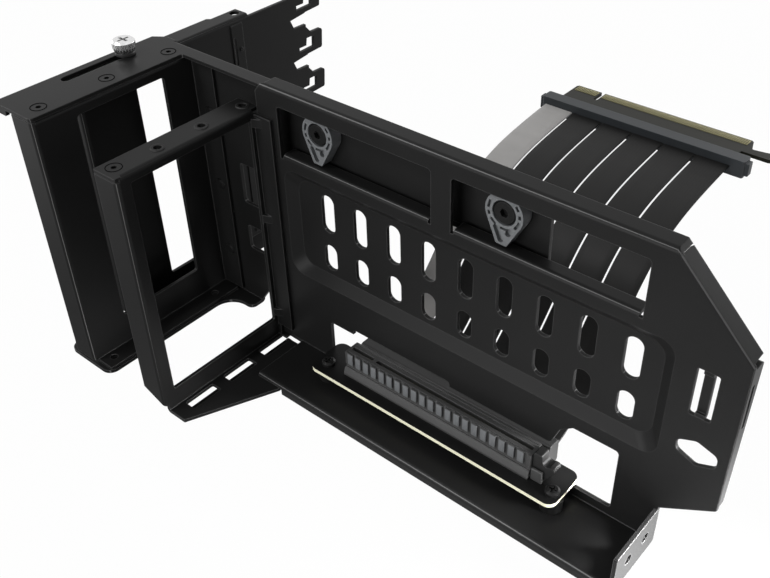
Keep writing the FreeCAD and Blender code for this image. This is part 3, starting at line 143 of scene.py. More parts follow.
class Finish(Nodes):
    """One material and the nodes that make it."""

    def __init__(self, name, **fixed):
        self.material = bpy.data.materials.new(name)
        self.material.use_nodes = True
        super().__init__(self.material.node_tree)
        self.shader = self.tree.nodes["Principled BSDF"]
        for socket, number in fixed.items():
            self.shader.inputs[socket.replace("_", " ")].default_value = number
        self.place = self.node("TexCoord", out="Object")

    def axis(self, name):
        """One coordinate of the place on the piece, in metres."""
        return self.node("SeparateXYZ", None, {0: self.place}, name)

    def facing(self, name):
        """One part of the face's own direction."""
        direction = self.node("NewGeometry", out="Normal")
        return self.node("SeparateXYZ", None, {0: direction}, name)

    def noise(self, size, detail=2.0, stretch=(1, 1, 1)):
        """Even noise whose blotches are about one size across."""
        place = self.node("Mapping", None, {"Vector": self.place, "Scale": stretch})
        return self.node("TexNoise", None, {"Vector": place, "Scale": 1 / size, "Detail": detail})

    def blend(self, share, first, second):
        return self.node("Mix", {"data_type": "RGBA"}, {0: share, 6: first, 7: second}, 2)

    def soft_edges(self, radius):
        """Normal that rounds the edges of the piece by a radius."""
        return self.node("Bevel", {"samples": 6}, {"Radius": radius})

    def edge_wear_and_highlight(self, radius, low=0.02, high=0.2):
        """1 on the edges of the piece, 0 on its flat faces."""
        flat = self.node("NewGeometry", out="Normal")
        along = self.node("VectorMath", {"operation": "DOT_PRODUCT"},
                          {0: self.soft_edges(radius), 1: flat}, "Value")
        return (1.0 - along).between(low, high)

    def bend_highlights(self):
        """1 on the middle facets of a square bend, where a highlight is painted, 0 on the faces beside
        them.
        """
        direction = self.node("NewGeometry", out="True Normal")
        x, y, z = (self.node("SeparateXYZ", None, {0: direction}, name) for name in "XYZ")
        steepness = 1.0 - abs(x).larger(abs(y)).larger(abs(z))
        up_and_forwards = (y < LOOKS_FORWARDS) * (z > LOOKS_UP)
        return (steepness + FRONT_BEND_EASE * up_and_forwards).between(*BEND_STEEPNESS)

    def bump(self, height, depth, normal=None, strength=1.0):
        inputs = {"Height": height, "Distance": depth, "Strength": strength}
        if normal is not None:
            inputs["Normal"] = normal
        return self.node("Bump", None, inputs)

    def feed(self, **values):
        """Link values to the shader's sockets and hand out the finished material."""
        for socket, value in values.items():
            self.tree.links.new(value.socket, self.shader.inputs[socket.replace("_", " ")])
        return self.material


def grey(level, warm=0.0):
    """Grey of a level, its red raised and its blue lowered by the warm share."""
    return (level * (1 + warm), level, level * (1 - warm), 1.0)


# Finishes

def powder_coat():
    """Satin black powder coat: fine peel, slow drift of gloss, painted highlights on edges and bends.
    """
    finish = Finish("powder_coat", Specular_IOR_Level=0.11)
    peel = finish.noise(0.45 * MM, 3.0)
    drift = finish.noise(38 * MM, 2.0)
    edge = finish.soft_edges(0.45 * MM)
    flat = finish.blend(drift, grey(0.009), grey(0.013))
    # Painted highlight: the edges are lighter, standing for the glint of light along them.
    edged = finish.blend(finish.edge_wear_and_highlight(0.6 * MM, 0.01, 0.1), flat, grey(0.055))
    # Painted highlight: the middle facets of bends are paler, standing for the bright line of light
    # along them.
    colour = finish.blend(finish.bend_highlights(), edged, grey(0.13))
    rough = 0.30 + 0.08 * drift + 0.08 * peel
    return finish.feed(Base_Color=colour, Roughness=rough,
                       Normal=finish.bump(peel, 0.02 * MM, edge, 0.5))


def black_screw():
    """Blackened screw steel, its edges a little worn."""
    finish = Finish("black_screw", Specular_IOR_Level=0.12)
    grain = finish.noise(0.8 * MM)
    flat = finish.blend(grain, grey(0.006), grey(0.011))
    colour = finish.blend(finish.edge_wear_and_highlight(0.25 * MM), flat, grey(0.04))
    return finish.feed(Base_Color=colour, Roughness=0.28 + 0.18 * grain,
                       Normal=finish.soft_edges(0.18 * MM))


def seat_shadow():
    """Painted shadow: dead black for the ring in the narrow gap round a screw head."""
    finish = Finish("seat_shadow", Specular_IOR_Level=0.0)
    dust = finish.noise(0.6 * MM)
    return finish.feed(Base_Color=finish.blend(dust, grey(0.0005), grey(0.002)),
                       Roughness=0.7 + 0.2 * dust)


def bright_steel():
    """Turned nickel-plated steel with fine tool marks round its axis."""
    finish = Finish("bright_steel", Metallic=1.0)
    marks = finish.noise(0.5 * MM, 3.0, (1, 1, 9))
    colour = finish.blend(marks, grey(0.62), grey(0.80))
    return finish.feed(Base_Color=colour, Roughness=0.16 + 0.16 * marks,
                       Normal=finish.bump(marks, 0.01 * MM, finish.soft_edges(0.2 * MM), 0.4))


def zinc_steel():
    """Zinc-plated steel with a soft cloud in its gloss."""
    finish = Finish("zinc_steel", Metallic=1.0)
    cloud = finish.noise(2.2 * MM, 4.0)
    colour = finish.blend(cloud, grey(0.34, 0.03), grey(0.52, 0.02))
    return finish.feed(Base_Color=colour, Roughness=0.3 + 0.2 * cloud,
                       Normal=finish.soft_edges(0.2 * MM))


def moulded(name, dark, light, rough, cool=0.0, edge=1.8):
    """Moulded plastic with spark-eroded grain, edges a little paler."""
    finish = Finish(name, Specular_IOR_Level=0.35)
    grain = finish.noise(0.35 * MM, 3.0)
    drift = finish.noise(14 * MM)
    flat = finish.blend(drift, grey(dark, -cool), grey(light, -cool))
    colour = finish.blend(finish.edge_wear_and_highlight(0.3 * MM), flat, grey(light * edge, -cool))
    return finish.feed(Base_Color=colour, Roughness=rough - 0.06 + 0.12 * grain,
                       Normal=finish.bump(grain, 0.02 * MM, finish.soft_edges(0.25 * MM), 0.5))


# The riser's board lies below this height, the plug's board above it
RISER_BELOW = -30 * MM
WEAVE_PITCH = 0.9
LAYER_PITCH = 0.4


def circuit_board():
    """Black solder mask, with a bare glass-fibre edge on the riser and an olive tint on the plug."""
    finish = Finish("circuit_board", Specular_IOR_Level=0.15)
    weave = finish.axis("X").wave(WEAVE_PITCH * MM) * finish.axis("Y").wave(WEAVE_PITCH * MM)
    cloud = finish.noise(9 * MM)
    mask = finish.blend(cloud, grey(0.005), grey(0.009))
    layers = finish.axis("Z").wave(LAYER_PITCH * MM)
    edge = finish.blend(layers, (0.78, 0.76, 0.56, 1), (0.90, 0.88, 0.70, 1))
    side = abs(finish.facing("Z")) < 0.5
    riser = finish.axis("Z") < RISER_BELOW
    olive = finish.blend(cloud, (0.007, 0.007, 0.004, 1), (0.011, 0.011, 0.006, 1))
    colour = finish.blend(riser, olive, finish.blend(side, mask, edge))
    return finish.feed(Base_Color=colour, Roughness=0.30 + 0.3 * side + 0.08 * cloud,
                       Normal=finish.bump(weave, 0.008 * MM))


CONTACT_PITCH = 1.0


def gold_contact():
    """Gold contacts in the socket, with dark plastic between them."""
    finish = Finish("gold_contact", Metallic=1.0)
    pads = finish.axis("X").wave(CONTACT_PITCH * MM).between(0.22, 0.36)
    cloud = finish.noise(3 * MM)
    gold = finish.blend(cloud, (0.23, 0.21, 0.11, 1), (0.32, 0.30, 0.17, 1))
    colour = finish.blend(pads, (0.012, 0.012, 0.008, 1), gold)
    return finish.feed(Base_Color=colour, Roughness=0.3 + 0.15 * cloud,
                       Normal=finish.bump(pads, 0.05 * MM))


def finger_gold():
    """Gold of the plug's finger pads, a little greenish."""
    finish = Finish("finger_gold", Metallic=1.0)
    cloud = finish.noise(3 * MM)
    colour = finish.blend(cloud, (0.17, 0.155, 0.075, 1), (0.25, 0.23, 0.12, 1))
    return finish.feed(Base_Color=colour, Roughness=0.3 + 0.15 * cloud,
                       Normal=finish.soft_edges(0.06 * MM))


WIRE_PITCH = 1.27


def tape(name, dark, light, rough):
    """Flat shielded cable: tape over many fine wires that run along the strip."""
    finish = Finish(name, Specular_IOR_Level=0.22)
    wires = finish.axis("X").wave(WIRE_PITCH * MM)
    crease = finish.noise(5 * MM, 3.0, (0.35, 1, 1))
    fine = finish.noise(0.4 * MM)
    colour = finish.blend(crease, grey(dark, 0.02), grey(light, 0.02))
    height = wires * 0.5 + crease * 0.9 + fine * 0.12
    return finish.feed(Base_Color=colour, Roughness=rough + 0.14 * crease - 0.07,
                       Normal=finish.bump(height, 0.06 * MM, None, 0.55))


FINISHES = {
    "powder_coat": powder_coat(),
    "black_screw": black_screw(),
    "seat_shadow": seat_shadow(),
    "bright_steel": bright_steel(),
    "zinc_steel": zinc_steel(),
    "black_plastic": moulded("black_plastic", 0.012, 0.020, 0.45),
    "grey_plastic": moulded("grey_plastic", 0.12, 0.15, 0.5, cool=0.04, edge=1.25),
    "socket_plastic": moulded("socket_plastic", 0.040, 0.055, 0.42),
    "latch_plastic": moulded("latch_plastic", 0.010, 0.016, 0.40),
    "plug_plastic": moulded("plug_plastic", 0.034, 0.042, 0.48, cool=0.12),
    "circuit_board": circuit_board(),
    "gold_contact": gold_contact(),
    "finger_gold": finger_gold(),
    "silver_strip": tape("silver_strip", 0.52, 0.64, 0.42),
    "black_strip": tape("black_strip", 0.006, 0.010, 0.48),
}


def paint(piece, finish):
    """Give a piece one finish and no other."""
    piece.data.materials.clear()
    piece.data.materials.append(FINISHES[finish])


for entry in frame["record"]["subparts"]:
    paint(frame["nodes"][entry["node"]], entry["material_slot"])
paint(frame["nodes"]["slot_latch"], "latch_plastic")
paint(frame["nodes"]["plug_housing"], "plug_plastic")


# Steps that every new piece goes through

SMOOTH_ANGLE = math.radians(40)


def box_mm(node):
    """Lowest and highest corner of a CAD node in millimetres."""
    return [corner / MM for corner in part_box(node)]


def begin():
    """Deselect everything, so that an operator acts on the new piece alone."""
    bpy.ops.object.select_all(action="DESELECT")


def take(piece):
    """Make a piece the only one selected and the active one."""
    begin()
    piece.select_set(True)
    bpy.context.view_layer.objects.active = piece


def settle(name, body, slot, finish=None):
    """Name a new piece, seat it in the model's frame and let it ride on one body.

    It takes its slot's finish, unless another is named.
    """
    made = bpy.context.object
    made.name = name
    made.data.name = name
    bpy.ops.object.transform_apply(location=True, rotation=True, scale=True)
    bpy.ops.object.shade_smooth_by_angle(angle=SMOOTH_ANGLE)
    paint(made, finish or slot)
    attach(made, body)
    return made


def block(name, body, slot, low, high, edge):
    """Box between two corners in millimetres, its edges rounded."""
    begin()
    centre = [(a + b) / 2 * MM for a, b in zip(low, high)]
    bpy.ops.mesh.primitive_cube_add(size=1, location=centre)
    bpy.context.object.scale = [(b - a) * MM for a, b in zip(low, high)]
    bpy.ops.object.transform_apply(location=False, rotation=False, scale=True)
    bpy.ops.object.mode_set(mode="EDIT")
    bpy.ops.mesh.select_all(action="SELECT")
    bpy.ops.mesh.bevel(offset=edge * MM, segments=2, affect="EDGES")
    bpy.ops.object.mode_set(mode="OBJECT")
    return settle(name, body, slot)


def copies(piece, body, slot, steps, finish=None):
    """Copies of a finished piece, each with its own mesh, moved by steps in millimetres."""
    for number, step in enumerate(steps, start=2):
        take(piece)
        bpy.ops.object.duplicate(linked=False)
        bpy.ops.transform.translate(value=[part * MM for part in step])
        settle("%s_%d" % (piece.name, number), body, slot, finish)


# Pads on the near side of the riser's socket

board_edge = box_mm("riser_board")[1]
BOARD_BACK = board_edge.y
BOARD_TOP = board_edge.z

PAD_COUNT = 21
PAD_ENDS = 3.0
PAD_START = 1.6
PAD_SHARE = 0.68
PAD_TRIM = 0.2
PAD_PROUD = 0.25
PAD_SUNK = 0.3
PAD_FOOT = 5.7
PAD_TOP = 11.0
PAD_EDGE = 0.12
SOCKET_SET_BACK = 1.2


def socket_pads():
    """Row of pale pads, one modelled and the others copied along the socket."""
    low, high = box_mm("slot_housing")
    pitch = (high.x - low.x - PAD_ENDS) / PAD_COUNT
    left = low.x + PAD_START
    right = left - PAD_TRIM + pitch * PAD_SHARE
    wall = low.y + SOCKET_SET_BACK
    pad = block("socket_pad", "holder", "grey_plastic",
                (left, wall - PAD_PROUD, BOARD_TOP + PAD_FOOT),
                (right, wall + PAD_SUNK, BOARD_TOP + PAD_TOP), PAD_EDGE)
    copies(pad, "holder", "grey_plastic", [(pitch * step, 0, 0) for step in range(1, PAD_COUNT)])


socket_pads()


# Plug: the sleeve where the cable enters and the finger pads of its board

BLACK_STRIPS = 5
STRIP_LAP = 0.3
STRIP_WIDE = 14.15
STRIP_THICK = 0.9
silver_left = box_mm("ribbon_silver")[0].x
STRIP_PITCH = box_mm("ribbon_black_1")[0].x - silver_left
STRIP_LEFT = silver_left - STRIP_LAP

SLEEVE_LEVEL = 64.6
SLEEVE_HALF = 0.5
SLEEVE_OUT = 1.8
SLEEVE_IN = 3.0
SLEEVE_EDGE = 0.25


def cable_sleeve():
    """Flat sleeve over the black strips at the plug's mouth."""
    mouth = box_mm("plug_housing")[0].y
    level = BOARD_TOP + SLEEVE_LEVEL
    left = STRIP_LEFT + STRIP_PITCH - STRIP_LAP
    right = STRIP_LEFT + STRIP_PITCH * BLACK_STRIPS + STRIP_WIDE
    return block("cable_sleeve", "holder", "black_strip",
                 (left, mouth - SLEEVE_OUT, level - SLEEVE_HALF),
                 (right, mouth + SLEEVE_IN, level + SLEEVE_HALF), SLEEVE_EDGE)


FINGER_PITCH = 1.0
FINGER_WIDE = 0.66
FINGER_LONG = 4.5
FINGER_THICK = 0.2
FINGER_EDGE = 0.05
# Middle of the first pad from the left end of the fingers, and number of pads
FINGER_ROWS = ((0.55, 11), (14.45, 70))


def finger_row(first, count, tip, level):
    """Row of finger pads along the board's edge, one pad modelled and repeated."""
    begin()
    centre = (first * MM, (tip - FINGER_LONG / 2) * MM, level * MM)
    bpy.ops.mesh.primitive_cube_add(size=1, location=centre)
    bpy.context.object.scale = (FINGER_WIDE * MM, FINGER_LONG * MM, FINGER_THICK * MM)
    bpy.ops.object.transform_apply(location=True, rotation=True, scale=True)
    bpy.ops.object.mode_set(mode="EDIT")
    bpy.ops.mesh.select_all(action="SELECT")
    bpy.ops.mesh.bevel(offset=FINGER_EDGE * MM, segments=1, affect="EDGES")
    bpy.ops.object.mode_set(mode="OBJECT")
    row = bpy.context.object.modifiers.new("row", "ARRAY")
    row.use_relative_offset = False
    row.use_constant_offset = True
    row.constant_offset_displace = (FINGER_PITCH * MM, 0, 0)
    row.count = count
    bpy.ops.object.modifier_apply(modifier=row.name)
    return bpy.context.object


def finger_pads():
    """Finger pads above and below the plug's board, joined into one piece."""
    low, high = box_mm("plug_fingers")
    levels = (low.z + FINGER_THICK / 2, high.z - FINGER_THICK / 2)
    rows = [finger_row(low.x + first, count, high.y, level)
            for first, count in FINGER_ROWS for level in levels]
    begin()
    for row in rows:
        row.select_set(True)
    bpy.ops.object.join()
    pads = settle("plug_finger_pads", "holder", "gold_contact", "finger_gold")
    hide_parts("plug_fingers")
    return pads


sleeve = cable_sleeve()
fingers = finger_pads()


# Flat cable: six strips from the board's clamp to the plug

# Points that control the cable's line, back from the board's rear edge and up from its top
ROUTE = [(4.6, -0.9), (16.5, 3.4), (27.9, 11.2), (39.4, 22.5), (50.9, 35.9),
         (63.9, 49.2), (78.9, 58.2), (101.9, 63.1), (125.2, 64.9)]
STRIP_EDGE_WIDE = 0.5
STRIP_EDGE_IN = 0.15
STRIP_EDGE_RISE = 0.7
STRIP_SMOOTH_ANGLE = math.radians(50)
ROUTE_STEPS = 8
ACROSS = Vector((1, 0, 0))


def route_points(x):
    """Points along the smooth line that the route's points control."""
    line = bpy.data.curves.new("route", "CURVE")
    line.dimensions = "3D"
    line.resolution_u = ROUTE_STEPS
    spline = line.splines.new("NURBS")
    spline.points.add(len(ROUTE) - 1)
    for point, (y, z) in zip(spline.points, ROUTE):
        point.co = (x * MM, (BOARD_BACK + y) * MM, (BOARD_TOP + z) * MM, 1)
    spline.order_u = 3
    spline.use_endpoint_u = True
    carrier = bpy.data.objects.new("route", line)
    bpy.context.scene.collection.objects.link(carrier)
    mesh = bpy.data.meshes.new_from_object(carrier)
    points = [vertex.co.copy() for vertex in mesh.vertices]
    bpy.data.objects.remove(carrier)
    bpy.data.meshes.remove(mesh)
    return points


def strip_section():
    """Points round a strip, across and up: flat faces between thin rounded edges."""
    half = STRIP_WIDE / 2
    thick = STRIP_THICK / 2
    left = [(-half, 0), (-half + STRIP_EDGE_IN, thick * STRIP_EDGE_RISE),
            (-half + STRIP_EDGE_WIDE, thick)]
    flat = [(x, thick) for x in (-half / 2, 0, half / 2)]
    right = [(-x, z) for x, z in reversed(left)]
    upper = left + flat + right
    return upper + [(x, -z) for x, z in upper[-2:0:-1]]


def strip_mesh(name, points):
    """Section swept along the points, closed at both ends."""
    section = strip_section()
    count = len(section)
    corners = []
    for index, point in enumerate(points):
        ahead = points[min(index + 1, len(points) - 1)]
        behind = points[max(index - 1, 0)]
        up = ACROSS.cross((ahead - behind).normalized())
        corners += [point + ACROSS * x * MM + up * z * MM for x, z in section]
    faces = []
    for base in range(0, len(corners) - count, count):
        for step in range(count):
            after = (step + 1) % count
            faces.append((base + step, base + count + step, base + count + after, base + after))
    faces.append(tuple(range(count)))
    faces.append(tuple(reversed(range(len(corners) - count, len(corners)))))
    mesh = bpy.data.meshes.new(name)
    mesh.from_pydata(corners, [], faces)
    return mesh


def make_strip(name, number, finish):
    """One strip of the cable, which leads from the clamp to the plug."""
    points = route_points(STRIP_LEFT + STRIP_PITCH * number + STRIP_WIDE / 2)
    strip = bpy.data.objects.new(name + "_tape", strip_mesh(name + "_tape", points))
    bpy.context.scene.collection.objects.link(strip)
    take(strip)
    bpy.ops.object.mode_set(mode="EDIT")
    bpy.ops.mesh.select_all(action="SELECT")
    bpy.ops.mesh.normals_make_consistent(inside=False)
    bpy.ops.object.mode_set(mode="OBJECT")
    bpy.ops.object.shade_smooth_by_angle(angle=STRIP_SMOOTH_ANGLE)
    paint(strip, finish)
    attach(strip, "holder")
    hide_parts(name)


make_strip("ribbon_silver", 0, "silver_strip")
for number in range(1, BLACK_STRIPS + 1):
    make_strip("ribbon_black_%d" % number, number, "black_strip")


# Cams with their pockets

CAM_HEAD = 7.4
CAM_SIDES = 56
CAM_FLAT_ANGLE = math.radians(1)
CAM_BORE = 2.35
BORE_OVERRUN = 2
BORE_SIDES = 40
CAM_SEAT = 4.65
SEAT_DEPTH = 7.0
SEAT_SHIFT = 0.1
SEAT_SIDES = 48
# Radius of the tail's two corners, and their place across and up from the pivot
TAIL_CORNERS = ((0.7, -2.2, -11.7), (0.5, 1.2, -11.95))
TAIL_CORNER_SIDES = 16
RIM_RADIUS = 6.05
RIM_WIDE = 1.0
RIM_DEPTH = 2.6
RIM_STEPS = 8
# Start and sweep of the pockets in the rim, in degrees
RIM_POCKETS = ((12, 34), (62, 40), (120, 26), (156, 14), (180, 30), (-12, 14), (-44, 18))
TAIL_DEPTH = 3.0
TAIL_FOOT_SHARE = 0.58
TAIL_POCKET_SIDES = 20
# Upper end, lower end and width of the pockets in the tail
TAIL_POCKETS = (((-3.0, -6.4), (-0.9, -10.6), 1.9), ((2.0, -6.3), (1.9, -7.3), 2.0))


def cut(piece):
    """Cut the active object out of a piece, then drop it."""
    tool = bpy.context.object
    take(piece)
    trim = piece.modifiers.new("trim", "BOOLEAN")
    trim.operation = "DIFFERENCE"
    trim.object = tool
    bpy.ops.object.modifier_apply(modifier=trim.name)
    bpy.data.objects.remove(tool)


def rod(radius, depth, place, sides):
    """Cylinder along Y, its sizes and place in millimetres."""
    bpy.ops.mesh.primitive_cylinder_add(vertices=sides, radius=radius * MM, depth=depth * MM,
                                        location=[part * MM for part in place],
                                        rotation=(math.pi / 2, 0, 0))


def hull(first, *others):
    """Closed skin round several rods, left in edit mode."""
    begin()
    rod(*first)
    bpy.ops.object.transform_apply(location=True, rotation=True, scale=True)
    bpy.ops.object.mode_set(mode="EDIT")
    for other in others:
        rod(*other)
    bpy.ops.mesh.select_all(action="SELECT")
    bpy.ops.mesh.convex_hull()


def cam_blank(x, y, z, thick):
    """Teardrop blank with the screw's bore and the seat for its head."""
    tail = [(radius, thick, (x + across, y, z + up), TAIL_CORNER_SIDES)
            for radius, across, up in TAIL_CORNERS]
    hull((CAM_HEAD, thick, (x, y, z), CAM_SIDES), *tail)
    bpy.ops.mesh.dissolve_limited(angle_limit=CAM_FLAT_ANGLE)
    bpy.ops.object.mode_set(mode="OBJECT")
    cam = bpy.context.object
    begin()
    rod(CAM_BORE, thick + BORE_OVERRUN, (x, y, z), BORE_SIDES)
    cut(cam)
    begin()
    rod(CAM_SEAT, SEAT_DEPTH, (x, y - thick / 2 + SEAT_SHIFT, z), SEAT_SIDES)
    cut(cam)
    return cam


def rim_pocket(cam, pivot, start, sweep):
    """Pocket that follows the cam's rim: a small upright face swept round the pivot."""
    begin()
    bpy.ops.mesh.primitive_plane_add(size=1, location=(0, 0, 0))
    bpy.context.object.scale = (RIM_WIDE * MM, RIM_DEPTH * MM, 1)
    bpy.ops.object.transform_apply(location=False, rotation=False, scale=True)
    bpy.ops.object.mode_set(mode="EDIT")
    bpy.ops.mesh.select_all(action="SELECT")
    bpy.ops.transform.translate(value=(pivot[0] + RIM_RADIUS * MM, pivot[1], pivot[2]))
    bpy.ops.transform.rotate(value=-math.radians(start), orient_axis="Y", center_override=pivot)
    bpy.ops.mesh.spin(steps=RIM_STEPS, angle=math.radians(sweep), center=pivot, axis=(0, -1, 0))
    bpy.ops.mesh.select_all(action="SELECT")
    bpy.ops.mesh.normals_make_consistent(inside=False)
    bpy.ops.object.mode_set(mode="OBJECT")
    cut(cam)


def make_cam(node):
    """Teardrop cam in place of its CAD node, with pockets in its rim and tail."""
    low, high = box_mm(node)
    x = low.x + CAM_HEAD
    z = high.z - CAM_HEAD
    face = low.y
    cam = cam_blank(x, (low.y + high.y) / 2, z, high.y - low.y)
    for start, sweep in RIM_POCKETS:
        rim_pocket(cam, (x * MM, face * MM, z * MM), start, sweep)
    for head, foot, wide in TAIL_POCKETS:
        upper = (x + head[0], face, z + head[1])
        lower = (x + foot[0], face, z + foot[1])
        hull((wide / 2, TAIL_DEPTH, upper, TAIL_POCKET_SIDES),
             (wide * TAIL_FOOT_SHARE, TAIL_DEPTH, lower, TAIL_POCKET_SIDES))
        bpy.ops.object.mode_set(mode="OBJECT")
        cut(cam)
    take(cam)
    settle(node + "_moulding", node, "grey_plastic")
    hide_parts(node)


make_cam("cam_rear")
make_cam("cam_front")


# Small plates on the folded sheets

def beside(corner, x, y, z):
    """Place at a distance from a corner, in millimetres."""
    return (corner.x + x, corner.y + y, corner.z + z)


def sheet_trim():
    """Web and plate at the card frame's heel, lip under the arm and tail of the case's strip."""
    plate_low = box_mm("side_plate")[0]
    heel = Vector((plate_low.x, box_mm("card_frame")[1].y, plate_low.z))
    arm = box_mm("slide_arm")[1]
    case_low, case_high = box_mm("case_bracket")
    strip = Vector((case_high.x, case_low.y, case_low.z))
    block("heel_web", "holder", "powder_coat",
          beside(heel, -1.4, -3.6, 2.6), beside(heel, 1.2, -1.8, 8.8), edge=0.15)
    block("heel_plate", "holder", "powder_coat",
          beside(heel, -0.8, -4.2, 2.45), beside(heel, 4.6, -1.7, 3.5), edge=0.1)
    block("arm_lip", "carriage", "powder_coat",
          beside(arm, -104.5, -1.45, -29.84), beside(arm, -1.0, -0.05, -26.84), edge=0.15)
    block("case_strip_tail", "case", "powder_coat",
          beside(strip, -2.45, 73.0, -9.66), beside(strip, -1.05, 122.0, 0.64), edge=0.3)


sheet_trim()


# Painted shadow: black rings round the flush screws, for the dark gaps round their heads

SCREW_RADIUS = 2.9
RING_RADIUS = 2.95
RING_THICK = 0.17
RING_SUNK = 0.02
RING_STEPS = 40
RING_SIDES = 8
RING_MERGE = 0.001
DECK_SCREW_STEP = 29.85


def screw_ring(name, body, node, back=0.0):
    """Black ring round a screw's head, a painted shadow of the gap there: a small circle spun about
    the screw.
    """
    low, high = box_mm(node)
    axis = (high.x - SCREW_RADIUS, (low.y + high.y) / 2 - back, high.z - RING_SUNK)
    centre = [part * MM for part in axis]
    begin()
    bpy.ops.mesh.primitive_circle_add(vertices=RING_SIDES, radius=RING_THICK * MM,
                                      location=(centre[0] + RING_RADIUS * MM, *centre[1:]),
                                      rotation=(math.pi / 2, 0, 0))
    bpy.ops.object.transform_apply(location=True, rotation=True, scale=True)
    bpy.ops.object.mode_set(mode="EDIT")
    bpy.ops.mesh.select_all(action="SELECT")
    bpy.ops.mesh.spin(steps=RING_STEPS, angle=math.tau, center=centre, axis=(0, 0, 1))
    bpy.ops.mesh.select_all(action="SELECT")
    bpy.ops.mesh.remove_doubles(threshold=RING_MERGE * MM)
    bpy.ops.mesh.normals_make_consistent(inside=False)
    bpy.ops.object.mode_set(mode="OBJECT")
    return settle(name, body, "black_screw", "seat_shadow")


deck_ring = screw_ring("deck_screw_ring", "carriage", "frame_screws", DECK_SCREW_STEP)
copies(deck_ring, "carriage", "black_screw",
       [(0, DECK_SCREW_STEP, 0), (0, 2 * DECK_SCREW_STEP, 0)], "seat_shadow")
screw_ring("corner_screw_ring", "holder", "corner_screw")


# Camera, fitted to the photo

PHOTO_WIDE = 770
PHOTO_HIGH = 578
FOCAL_PIXELS = 984.85
OPTICAL_CENTRE = (396.49, 278.06)
SENSOR = 36.0
NEAREST_SEEN = 0.01
CAMERA_PLACE = (0.3195, -0.1792, 0.2120)
CAMERA_RIGHT = Vector((0.7654, 0.6433, -0.0192))
CAMERA_DOWN = Vector((0.3770, -0.4724, -0.7966))
CAMERA_AHEAD = Vector((-0.5215, 0.6025, -0.6041))

camera = bpy.data.objects.new("camera", bpy.data.cameras.new("camera"))
bpy.context.scene.collection.objects.link(camera)
axes = Matrix((CAMERA_RIGHT, -CAMERA_DOWN, -CAMERA_AHEAD)).transposed()
turn = axes.to_quaternion().to_matrix().to_4x4()
camera.matrix_world = Matrix.Translation(CAMERA_PLACE) @ turn
camera.data.sensor_width = SENSOR
camera.data.lens = SENSOR * FOCAL_PIXELS / PHOTO_WIDE
camera.data.shift_x = (PHOTO_WIDE / 2 - OPTICAL_CENTRE[0]) / PHOTO_WIDE
camera.data.shift_y = (OPTICAL_CENTRE[1] - PHOTO_HIGH / 2) / PHOTO_WIDE
camera.data.clip_start = NEAREST_SEEN
bpy.context.scene.camera = camera


# Lamps

MIDDLE = (0.13, 0.05, 0.0)
LEDGE_END = (0.262, 0.005, -0.07)
LEDGE_SPREAD = math.radians(70)


def softbox(name, place, wide, high, power, aim=MIDDLE):
    """Rectangular lamp that faces a point of the model."""
    lamp = bpy.data.lights.new(name, "AREA")
    lamp.shape = "RECTANGLE"
    lamp.size = wide
    lamp.size_y = high
    lamp.energy = power
    stand = bpy.data.objects.new(name, lamp)
    bpy.context.scene.collection.objects.link(stand)
    stand.location = place
    stand.rotation_euler = (Vector(aim) - Vector(place)).to_track_quat("-Z", "Y").to_euler()
    return lamp


# Place, width and height in metres, then the power in watts
softbox("top_box", (0.05, 0.30, 0.95), 0.8, 0.8, 0.6)
softbox("front_box", (0.00, -0.80, 0.10), 0.7, 0.6, 6.5)
softbox("key_box", (-0.27, -0.45, 0.69), 0.2, 0.2, 2.5)
right_lamp = softbox("right_box", (0.34, 0.06, -0.03), 0.06, 0.06, 0.9, LEDGE_END)
right_lamp.spread = LEDGE_SPREAD
softbox("back_box", (0.36, 0.95, 0.10), 0.7, 0.4, 5.0)
softbox("left_box", (-0.85, -0.10, 0.10), 0.6, 0.4, 2.5)


# Background and floor

WHITE = (1, 1, 1, 1)
FILL = 0.2
FLOOR_SIZE = 6
FLOOR_DROP = 0.002
FLOOR_GREY = (0.25, 0.25, 0.25, 1)
FLOOR_GLOW = 0.985
MIRROR_GLOW = 0.9
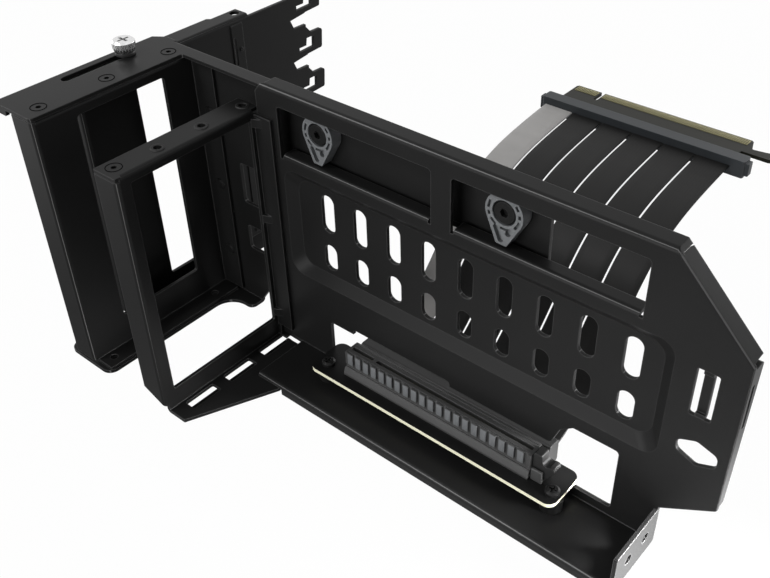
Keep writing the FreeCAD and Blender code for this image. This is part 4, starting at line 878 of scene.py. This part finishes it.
# Painted shadow: the floor's mirror image in the model fades towards this point, between these
# distances
MIRROR_DARK = (-0.03, -0.07, cad_box[0][2])
MIRROR_FADE = (0.03, 0.26)


def studio_world():
    """White where it is seen or mirrored, a weak fill for everything else."""
    world = bpy.data.worlds.new("studio")
    bpy.context.scene.world = world
    world.use_nodes = True
    world.node_tree.nodes.clear()
    sky = Nodes(world.node_tree)
    camera_ray, clear_ray, glossy_ray = (
        sky.node("LightPath", out="Is %s Ray" % kind) for kind in ("Camera", "Transmission", "Glossy"))
    fill = sky.node("Background", None, {"Color": WHITE, "Strength": FILL})
    white = sky.node("Background", None, {"Color": WHITE, "Strength": 1.0})
    seen = camera_ray.larger(clear_ray).larger(glossy_ray)
    mixed = sky.node("MixShader", None, {0: seen, 1: fill, 2: white})
    sky.node("OutputWorld", None, {0: mixed})


def pale_floor():
    """Floor just below the model: white to the camera, grey to the light, and nearly white in mirror
    images but for a painted shadow near the model.
    """
    begin()
    bpy.ops.mesh.primitive_plane_add(size=FLOOR_SIZE, location=(0, 0, cad_box[0][2] - FLOOR_DROP))
    floor = bpy.context.object
    floor.name = "floor"
    pale = bpy.data.materials.new("pale_floor")
    pale.use_nodes = True
    pale.node_tree.nodes.clear()
    ground = Nodes(pale.node_tree)
    camera_ray = ground.node("LightPath", out="Is Camera Ray")
    glossy_ray = ground.node("LightPath", out="Is Glossy Ray")
    place = ground.node("NewGeometry", out="Position")
    reach = ground.node("VectorMath", {"operation": "DISTANCE"}, {0: place, 1: MIRROR_DARK}, "Value")
    # Painted shadow: near the model the floor is darker in mirror images only.
    mirrored = glossy_ray * (MIRROR_GLOW * reach.between(*MIRROR_FADE))
    matt = ground.node("BsdfDiffuse", None, {"Color": FLOOR_GREY})
    glow = ground.node("Emission", None, {"Strength": 1.0})
    share = FLOOR_GLOW * camera_ray + mirrored
    mixed = ground.node("MixShader", None, {0: share, 1: matt, 2: glow})
    ground.node("OutputMaterial", None, {0: mixed})
    floor.data.materials.append(pale)


studio_world()
pale_floor()
bpy.context.scene.view_settings.view_transform = "Standard"
